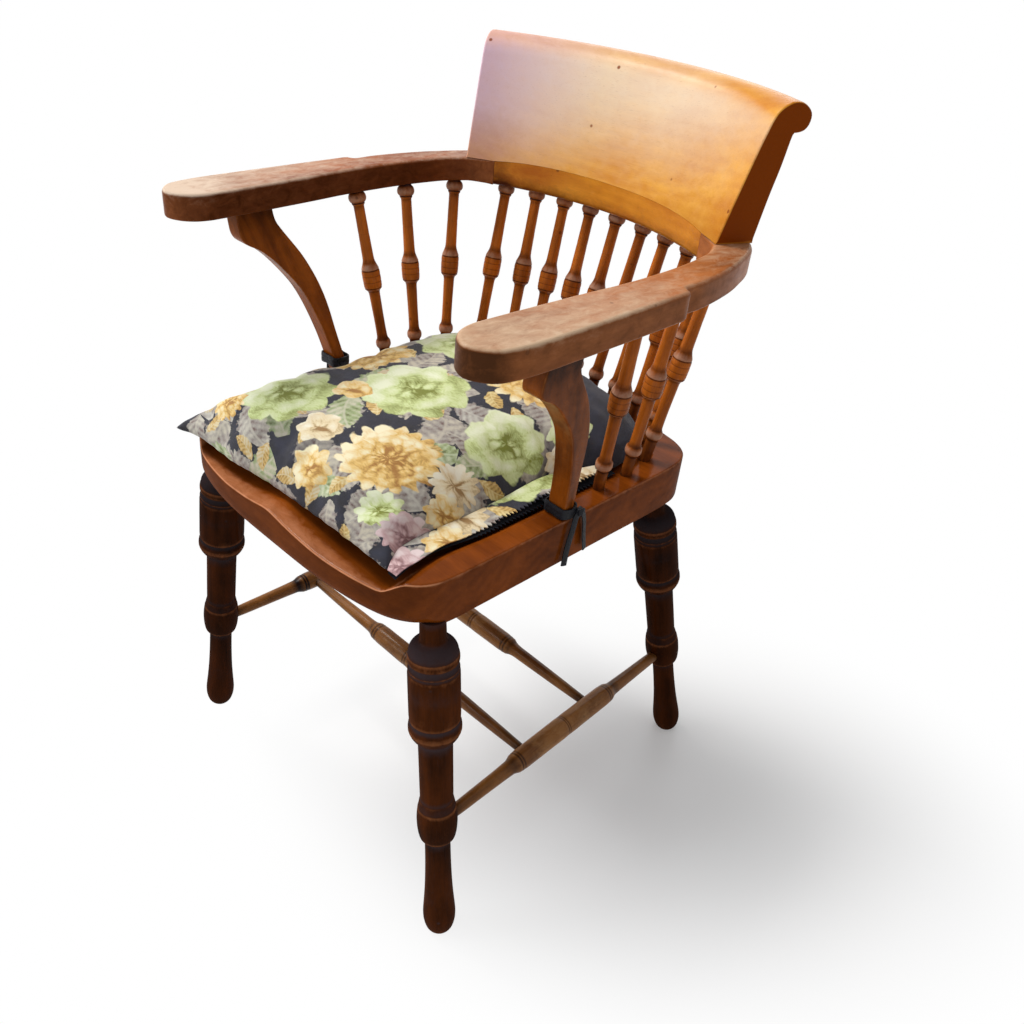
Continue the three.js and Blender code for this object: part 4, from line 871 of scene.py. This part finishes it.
for key, value in {
        "quality": 6, "mass": 0.3, "tension_stiffness": 12, "compression_stiffness": 12, "shear_stiffness": 5,
        "bending_stiffness": 0.3, "shrink_min": -0.04, "vertex_group_mass": "seam", "use_pressure": True,
        "uniform_pressure_force": 4.0}.items():
    setattr(swelling.settings, key, value)
swelling.settings.effector_weights.gravity = 0.0
swelling.point_cache.frame_start, swelling.point_cache.frame_end = 1, 20
for step in range(1, 21):
    bpy.context.scene.frame_set(step)
graph = bpy.context.evaluated_depsgraph_get()
swollen = bpy.data.meshes.new_from_object(cushion_pad.evaluated_get(graph), depsgraph=graph)
cushion_pad.modifiers.clear()
cushion_pad.vertex_groups.clear()
cushion_pad.data = swollen
most_swell = 0.008
for vert, rest in zip(swollen.vertices, rest_places):
    move = vert.co - rest
    if move.length > most_swell:
        vert.co = rest + move.normalized() * most_swell
bpy.context.scene.frame_set(1)


def print_spots(data, places):
    layer = data.uv_layers.new(name="print")
    for corner in data.loops:
        place = places[corner.vertex_index]
        layer.data[corner.index].uv = (place.x, place.y)


seat_clear = 0.4556
for vert in cushion_pad.data.vertices:
    vert.co.z = max(vert.co.z, seat_clear)
spread = [1.0 + 0.22 * (1 - eased(place.z - seam_level, 0.0, cushion_crown / 1000)) for place in rest_places]
print_spots(cushion_pad.data, [Vector((place.x * grow, (place.y + 0.06) * grow - 0.06))
                               for place, grow in zip(rest_places, spread)])
rounding = cushion_pad.modifiers.new("rounding", "SUBSURF")
rounding.levels = rounding.render_levels = 1
cushion_pad.data.shade_smooth()

bloom = shade_group("bloom", {
    "Place": (0.0, 0.0, 0.0), "Centre": (0.0, 0.0, 0.0), "Turn": 0.0, "Reach": 0.05, "Petals": 5.0, "Rows": 4.0,
    "Pale": paint(250, 240, 190), "Rich": paint(220, 170, 80), "Shade": paint(150, 100, 40)}, ("Color", "Mask"))
entry = add_node(bloom, "NodeGroupInput").outputs
local = vector_step("SUBTRACT", entry["Place"], entry["Centre"])
wobble = add_node(bloom, "TexNoise", {"Vector": local, "Scale": 34.0, "Detail": 3.0}).outputs["Color"]
wobble = add_node(bloom, "VectorMath", {0: vector_step("SUBTRACT", wobble, (0.5, 0.5, 0.5)), 3: 0.022},
                  operation="SCALE").outputs[0]
local = vector_step("ADD", local, wobble)
parts = add_node(bloom, "SeparateXYZ", {0: local}).outputs
swing_angle = plus(reckon("ARCTAN2", parts[1], parts[0]), entry["Turn"])
reach_share = over(add_node(bloom, "VectorMath", {0: local}, operation="LENGTH").outputs[1], entry["Reach"])
scallop = reckon("ABSOLUTE", reckon("SINE", times(swing_angle, entry["Petals"])))
bloom_mask = mapped(less(plus(0.8, times(scallop, 0.18)), reach_share), -0.01, 0.03)
petal_place = add_node(bloom, "CombineXYZ", {
    0: times(swing_angle, times(entry["Petals"], 0.32)),
    1: times(reckon("POWER", reach_share, 0.75), entry["Rows"])}).outputs[0]
petal_cells = add_node(bloom, "TexVoronoi", {
    "Vector": petal_place, "Scale": 1.0, "Randomness": 0.75, "Smoothness": 0.35}, feature="SMOOTH_F1").outputs
petal_rim = mapped(petal_cells["Distance"], 0.05, 0.75, 0.85, 0.0)
petal_tone = mapped(add_node(bloom, "SeparateColor", {0: petal_cells["Color"]}).outputs[0], 0.0, 1.0, -0.18, 0.18)
strokes = grained(vector_step("MULTIPLY", local, (1.0, 2.6, 1.0)), 240.0, 3.0)
sunny = mapped(over(parts[0], entry["Reach"]), -1.0, 1.0, 0.3, -0.25)
petal_light = plus(plus(petal_rim, petal_tone), sunny)
petal_light = plus(petal_light, mapped(strokes, 0.3, 0.7, -0.16, 0.16))
petal_light = plus(petal_light, mapped(reach_share, 0.05, 0.6, -0.42, 0.24))
petal_paint = blend_paint(mapped(petal_light, 0.3, 0.95), entry["Rich"], entry["Pale"])
petal_paint = blend_paint(mapped(petal_light, 0.34, -0.1), petal_paint, entry["Shade"])
add_node(bloom, "NodeGroupOutput", {"Color": petal_paint, "Mask": bloom_mask})

leaf = shade_group("leaf", {
    "Local": (0.0, 0.0, 0.0), "Length": 0.05, "Width": 0.014, "Pale": paint(190, 205, 160),
    "Rich": paint(120, 140, 100), "Shade": paint(80, 60, 60)}, ("Color", "Mask"))
entry = add_node(leaf, "NodeGroupInput").outputs
parts = add_node(leaf, "SeparateXYZ", {0: entry["Local"]}).outputs
along_leaf = over(parts[0], entry["Length"])
bend = times(times(along_leaf, along_leaf), times(entry["Width"], 0.5))
off_rib = reckon("ABSOLUTE", over(less(parts[1], bend), entry["Width"]))
leaf_half = less(1.0, reckon("POWER", reckon("ABSOLUTE", along_leaf), 1.9))
leaf_half = plus(leaf_half, mapped(grained(entry["Local"], 130.0, 3.0), 0.3, 0.7, -0.22, 0.22))
leaf_mask = mapped(less(leaf_half, off_rib), -0.02, 0.08)
vein_line = reckon("SINE", times(less(along_leaf, times(off_rib, 0.35)), 24.0))
leaf_light = plus(mapped(vein_line, -1.0, 1.0, -0.16, 0.16),
                  mapped(grained(entry["Local"], 45.0, 5.0, 0.7), 0.32, 0.68))
leaf_paint = blend_paint(mapped(leaf_light, 0.35, 0.85), entry["Rich"], entry["Pale"])
leaf_paint = blend_paint(mapped(leaf_light, 0.32, 0.0), leaf_paint, entry["Shade"])
leaf_paint = blend_paint(mapped(off_rib, 0.03, 0.1, 0.7, 0.0), leaf_paint, entry["Pale"])
add_node(leaf, "NodeGroupOutput", {"Color": leaf_paint, "Mask": leaf_mask})

cushion_cloth = bpy.data.materials.new("cushion_cloth_print")
tree = bare_tree(cushion_cloth)
print_place = add_node(tree, "UVMap", uv_map="print").outputs[0]
print_paint = blend_paint(mapped(grained(print_place, 60.0, 3.0), 0.3, 0.7), paint(18, 20, 34), paint(34, 38, 58))
print_parts = add_node(tree, "SeparateXYZ", {0: print_place}).outputs
plain_ground = mapped(plus(print_parts[0], times(print_parts[1], 0.8)), 0.12, 0.15, 1.0, 0.0)
lilac_grey = ((202, 200, 190), (160, 152, 146), (106, 74, 70))
soft_green = ((214, 224, 190), (156, 172, 122), (100, 104, 58))
straw = ((240, 222, 160), (206, 170, 96), (140, 104, 60))
for seed, cell, length, width, share, (pale, rich, shade) in (
        ((3.1, 1.7, 0), 16.0, 0.038, 0.025, 0.78, lilac_grey), ((5.3, 2.9, 0), 19.0, 0.03, 0.018, 0.4, lilac_grey),
        ((7.7, 4.2, 0), 15.0, 0.036, 0.018, 0.5, soft_green), ((1.3, 8.6, 0), 26.0, 0.019, 0.01, 0.35, straw)):
    spread = vector_step("ADD", print_place, seed)
    cells = add_node(tree, "TexVoronoi", {"Vector": spread, "Scale": cell, "Randomness": 0.85},
                     voronoi_dimensions="2D").outputs
    chance = add_node(tree, "SeparateColor", {0: cells["Color"]}).outputs
    local = add_node(tree, "VectorRotate", {
        "Vector": vector_step("SUBTRACT", spread, cells["Position"]), "Angle": times(chance[0], math.tau)},
        rotation_type="Z_AXIS").outputs[0]
    printed = add_node(tree, "Group", {
        "Local": local, "Length": length, "Width": width, "Rich": paint(*rich), "Shade": paint(*shade),
        "Pale": blend_paint(chance[1], paint(*pale), paint(206, 198, 178))}, node_tree=leaf).outputs
    kept = times(times(printed["Mask"], mapped(chance[2], share, share + 0.01, 1.0, 0.0)), plain_ground)
    print_paint = blend_paint(kept, print_paint, printed["Color"])
golden = ((254, 244, 206), (236, 196, 112), (172, 120, 56))
greenish = ((242, 248, 216), (208, 222, 152), (124, 132, 46))
creamy = ((250, 244, 222), (232, 212, 168), (158, 122, 74))
rosy = ((240, 222, 222), (204, 166, 168), (140, 100, 104))
bloom_places = [
    (-0.1, -0.18, 0.3, 0.058, 4, 3.6, greenish), (0.065, -0.175, 1.1, 0.056, 9, 6.0, golden),
    (-0.015, -0.075, 0.0, 0.06, 4, 3.4, greenish), (0.11, -0.05, 0.7, 0.052, 4, 3.4, greenish),
    (-0.12, -0.055, 2.0, 0.05, 8, 5.4, golden), (0.04, 0.045, 1.4, 0.056, 9, 6.0, golden),
    (-0.075, 0.045, 0.5, 0.054, 4, 3.4, greenish), (-0.02, 0.125, 1.8, 0.044, 8, 5.0, golden),
    (0.128, 0.03, 2.2, 0.03, 4, 3.2, greenish), (-0.02, -0.195, 0.9, 0.027, 3, 2.2, creamy),
    (0.13, -0.14, 0.2, 0.03, 7, 1.6, creamy), (-0.055, -0.125, 1.2, 0.022, 2.5, 2.0, golden),
    (0.012, -0.245, 2.2, 0.03, 4, 3.0, golden), (-0.155, -0.125, 0.4, 0.024, 2.5, 2.0, creamy),
    (0.115, -0.235, 0.2, 0.028, 5, 3.0, greenish), (0.158, -0.235, 0.4, 0.032, 6, 4.0, rosy),
    (0.155, -0.175, 1.4, 0.026, 5, 3.0, golden), (0.16, 0.01, 1.4, 0.026, 5, 3.0, creamy),
    (-0.15, 0.02, 0.6, 0.026, 2.5, 2.0, creamy), (-0.15, -0.235, 1.6, 0.03, 7, 4.0, golden)]
for x, y, way, reach, petals, rows, (pale, rich, shade) in bloom_places:
    printed = add_node(tree, "Group", {
        "Place": print_place, "Centre": (x, y, 0), "Turn": way, "Reach": reach, "Petals": petals, "Rows": rows,
        "Pale": paint(*pale), "Rich": paint(*rich), "Shade": paint(*shade)}, node_tree=bloom).outputs
    print_paint = blend_paint(printed["Mask"], print_paint, printed["Color"])
weave_across, weave_along = (
    add_node(tree, "TexWave", {"Vector": print_place, "Scale": 420.0, "Distortion": 0.6},
             bands_direction=way).outputs["Fac"] for way in "XY")
weave = times(weave_across, weave_along)
creases = grained(add_node(tree, "TexCoord").outputs["Object"], 34.0, 4.0, 0.55, 0.8)
cloth_bump = add_node(tree, "Bump", {"Height": plus(times(weave, 0.12), creases), "Strength": 0.5, "Distance": 0.003})
surface(tree, {
    "Base Color": blend_paint(mapped(weave, 0.0, 1.0, 0.0, 0.1), print_paint, paint(235, 225, 205)),
    "Roughness": 0.78, "Normal": cloth_bump.outputs[0], "Specular IOR Level": 0.3, "Sheen Weight": 0.15,
    "Sheen Roughness": 0.4})
cushion_pad.data.materials.append(cushion_cloth)
dress(cushion_pad, "cushion")

flange_line = [p for p in curve_through([(x, y, 0) for x, y in cushion_right], 2.5) if p.y < 52]
half_cloth = Vector((0, 0, 0.45))


def cloth_strip(name, gap_in, gap_out, level_in, level_out, wave, raised, spare, material):
    sections = []
    for i, point in enumerate(flange_line):
        width = flank_gap(point.y) / 22
        crimp = (2.6 if i % 2 else -2.6) * eased(point.y, -165, -110) * min(width * 1.5, 1.0)
        row = []
        for share in (0.0, 0.25, 0.5, 0.75, 1.0):
            gap = width * (gap_in + (gap_out - gap_in) * share) - spare * share * eased(point.y, -225, -120)
            lift = wave * noise.noise(Vector((point.x * 0.02 + share * 0.3, point.y * 0.035, 4.0))) * share
            height = level_in + (level_out - level_in) * share + lift + raised * eased(point.y, -95, -25)
            row.append(Vector((point.x - gap + crimp * share ** 4, point.y, height)))
        sections.append([p + half_cloth for p in row] + [p - half_cloth for p in row[::-1]])
    bm = skin(bmesh.new(), sections)
    bmesh.ops.recalc_face_normals(bm, faces=bm.faces)
    strip = from_bmesh(name, bm)
    print_spots(strip.data, [vert.co.copy() for vert in strip.data.vertices])
    smoothed(strip, 50, material)
    dress(strip, "cushion")


lining_cloth = bpy.data.materials.new("cushion_lining")
tree = bare_tree(lining_cloth)
lining_threads = grained(add_node(tree, "TexCoord").outputs["Object"], 800.0, 3.0, 0.6)
lining_bump = add_node(tree, "Bump", {"Height": lining_threads, "Strength": 0.4, "Distance": 0.0008})
surface(tree, {
    "Base Color": blend_paint(mapped(lining_threads, 0.35, 0.7), paint(16, 17, 22), paint(40, 42, 50)),
    "Roughness": 0.85, "Specular IOR Level": 0.12, "Normal": lining_bump.outputs[0]})
cloth_strip("cushion_flange", 24.0, 0.5, 464.4, 463.6, 3.6, 6.0, 0.0, cushion_cloth)
cloth_strip("cushion_flange_lining", 22.0, 3.0, 461.4, 460.2, 0.4, 1.0, 6.6, lining_cloth)


# Ties: black satin ribbons sewn to the cushion's corners. The front pair loop round the arm supports
# and are knotted outside with hanging tails, and the rear pair loop round the feet of two spindles.
ribbon_satin = bpy.data.materials.new("ribbon_satin")
tree = bare_tree(ribbon_satin)
satin_place = add_node(tree, "TexCoord").outputs["Object"]
satin_folds = grained(satin_place, 160.0, 3.0, 0.55, 0.6)
satin_threads = add_node(tree, "TexWave", {"Vector": satin_place, "Scale": 700.0, "Distortion": 2.0},
                         bands_direction="Z").outputs["Fac"]
satin_bump = add_node(tree, "Bump", {
    "Height": plus(satin_folds, times(satin_threads, 0.1)), "Strength": 0.6, "Distance": 0.0015})
surface(tree, {
    "Base Color": blend_paint(mapped(satin_folds, 0.3, 0.7), paint(7, 8, 12), paint(20, 22, 32)),
    "Roughness": mapped(satin_folds, 0.3, 0.7, 0.34, 0.5), "Normal": satin_bump.outputs[0],
    "Specular IOR Level": 0.2, "Sheen Weight": 0.06, "Sheen Roughness": 0.35})
ribbon_half = 1.1 / 2


def ribbon_band(bm, line, width, faces):
    sections = []
    for i, point in enumerate(line):
        ahead = (line[min(i + 1, len(line) - 1)] - line[max(i - 1, 0)]).normalized()
        face = Vector(faces[min(i, len(faces) - 1)])
        face = (face - ahead * face.dot(ahead)).normalized()
        half = ahead.cross(face) * (width / 2)
        row = [(point + half * share, 0.4 * (1 - share * share)) for share in (-1, -0.5, 0, 0.5, 1)]
        sections.append([spot + face * (ribbon_half + cup) for spot, cup in row]
                        + [spot - face * (ribbon_half - cup) for spot, cup in row[::-1]])
    skin(bm, sections)


def knot_lump(bm, place, sizes, seed):
    made = bmesh.ops.create_icosphere(bm, subdivisions=4, radius=1.0)["verts"]
    for vert in made:
        folds = noise.noise(vert.co * 2.2 + Vector((seed, 0, 0)))
        vert.co *= 1.0 + 0.28 * folds - 0.22 * math.exp(-(vert.co.x * 3.0) ** 2)
        vert.co = Vector(place) + Vector((vert.co.x * sizes[0], vert.co.y * sizes[1], vert.co.z * sizes[2]))


for word, side, level, inner, outer, near, far in (
        ("right", 1, 466.5, 166.9, 193.8, -58.6, -41.2), ("left", -1, 488.0, 171.4, 198.5, -64.0, -45.4)):
    bm = bmesh.new()
    across, along = (inner + outer) / 2, (near + far) / 2
    path = curve_through([
        (inner - 1, near + 3, level), (inner + 1.5, near - 1, level + 0.6), (across, near - 1.6, level + 0.8),
        (outer - 1.5, near - 1, level + 0.4), (outer + 1, near + 3, level), (outer + 1.4, along, level - 0.6),
        (outer + 1, far - 3, level), (outer - 1.5, far + 1, level + 0.5), (across, far + 1.6, level),
        (inner + 1.5, far + 1, level - 0.4), (inner - 1, far - 3, level), (inner - 1.4, along, level),
        (inner - 1, near + 3.4, level)], 2.0)
    middle = Vector((across, along, level))
    for lift, width in ((-2.2, 7.5), (2.4, 6.5)):
        ribbon_band(bm, [p + Vector((0, 0, lift + 0.8 * noise.noise(p * 0.2 + Vector((lift, 0, 0))))) for p in path],
                    width, [p - middle for p in path])
    knot = (outer + 4.5, far + 1, level)
    knot_lump(bm, knot, (4.2, 5.2, 5.0), 1.0 + side)
    strap = curve_through([(inner - 1.5, along, level), (inner - 6, along - 1, level - 2),
                           (inner - 14, along - 3, 464.6 + (2 if side < 0 else 0)),
                           (inner - 24, along - 5, 464.0)], 2.5)
    ribbon_band(bm, strap, 7.0, [(0.2, 0, 1)])
    fall = max(outer + 3, 199.0)
    for way, drop in ((-1, 52), (1, 44)):
        tail = curve_through([
            knot, (fall, far + way * 5, level - 4), (fall + 0.5, far + way * 8, 452),
            (fall - 0.4, far + way * 12, seat_top - drop * 0.6),
            (fall + 0.3, far + way * 15, seat_top - drop)], 2.5)
        ribbon_band(bm, tail, 6.5, [(1, 0.25 * way, 0.1)])
    if side < 0:
        bmesh.ops.scale(bm, vec=(-1, 1, 1), verts=bm.verts)
    finish_piece(f"tie_front_{word}_ribbon", bm, ribbon_satin, f"tie_front_{word}", (0, 0, 1),
                 angle=60.0)

for word, name in (("left", "spindle_left_3"), ("right", "spindle_back_6")):
    foot, head = spindle_axes[name]
    centre = foot.lerp(head, 6.5 / (bow_under - seat_top))
    inward = Vector((-centre.x, cushion_middle - centre.y, 0)).normalized()
    aside = Vector((-inward.y, inward.x, 0))
    bm = bmesh.new()
    for lift, radius in ((-1.0, 8.6), (2.6, 8.2)):
        path = [centre + radius * (math.cos(a) * inward + math.sin(a) * aside)
                + Vector((0, 0, lift + 0.8 * math.sin(3 * a))) for a in [math.tau * i / 36 for i in range(37)]]
        ribbon_band(bm, path, 6.5, [p - centre for p in path])
    knot_lump(bm, centre + inward * 10.5 + Vector((0, 0, 1.0)), (4.6, 5.6, 4.0), 5.0 + centre.x)
    strap = curve_through([centre + inward * 9, centre + inward * 15 + Vector((0, 0, -0.6)),
                           centre + inward * 24 + Vector((0, 0, -1.2))], 2.5)
    ribbon_band(bm, strap, 7.0, [(0, 0, 1)])
    for way in (-1, 1):
        tail = curve_through([centre + way * out * aside - back * inward
                              for out, back in ((8, 4), (15, 6), (22, 5), (28, 2))], 2.5)
        ribbon_band(bm, [p + Vector((0, 0, -1.4)) for p in tail], 6.0, [(-inward.x, -inward.y, 0.3)])
    finish_piece(f"tie_rear_{word}_ribbon", bm, ribbon_satin, f"tie_rear_{word}", (0, 0, 1),
                 angle=60.0)
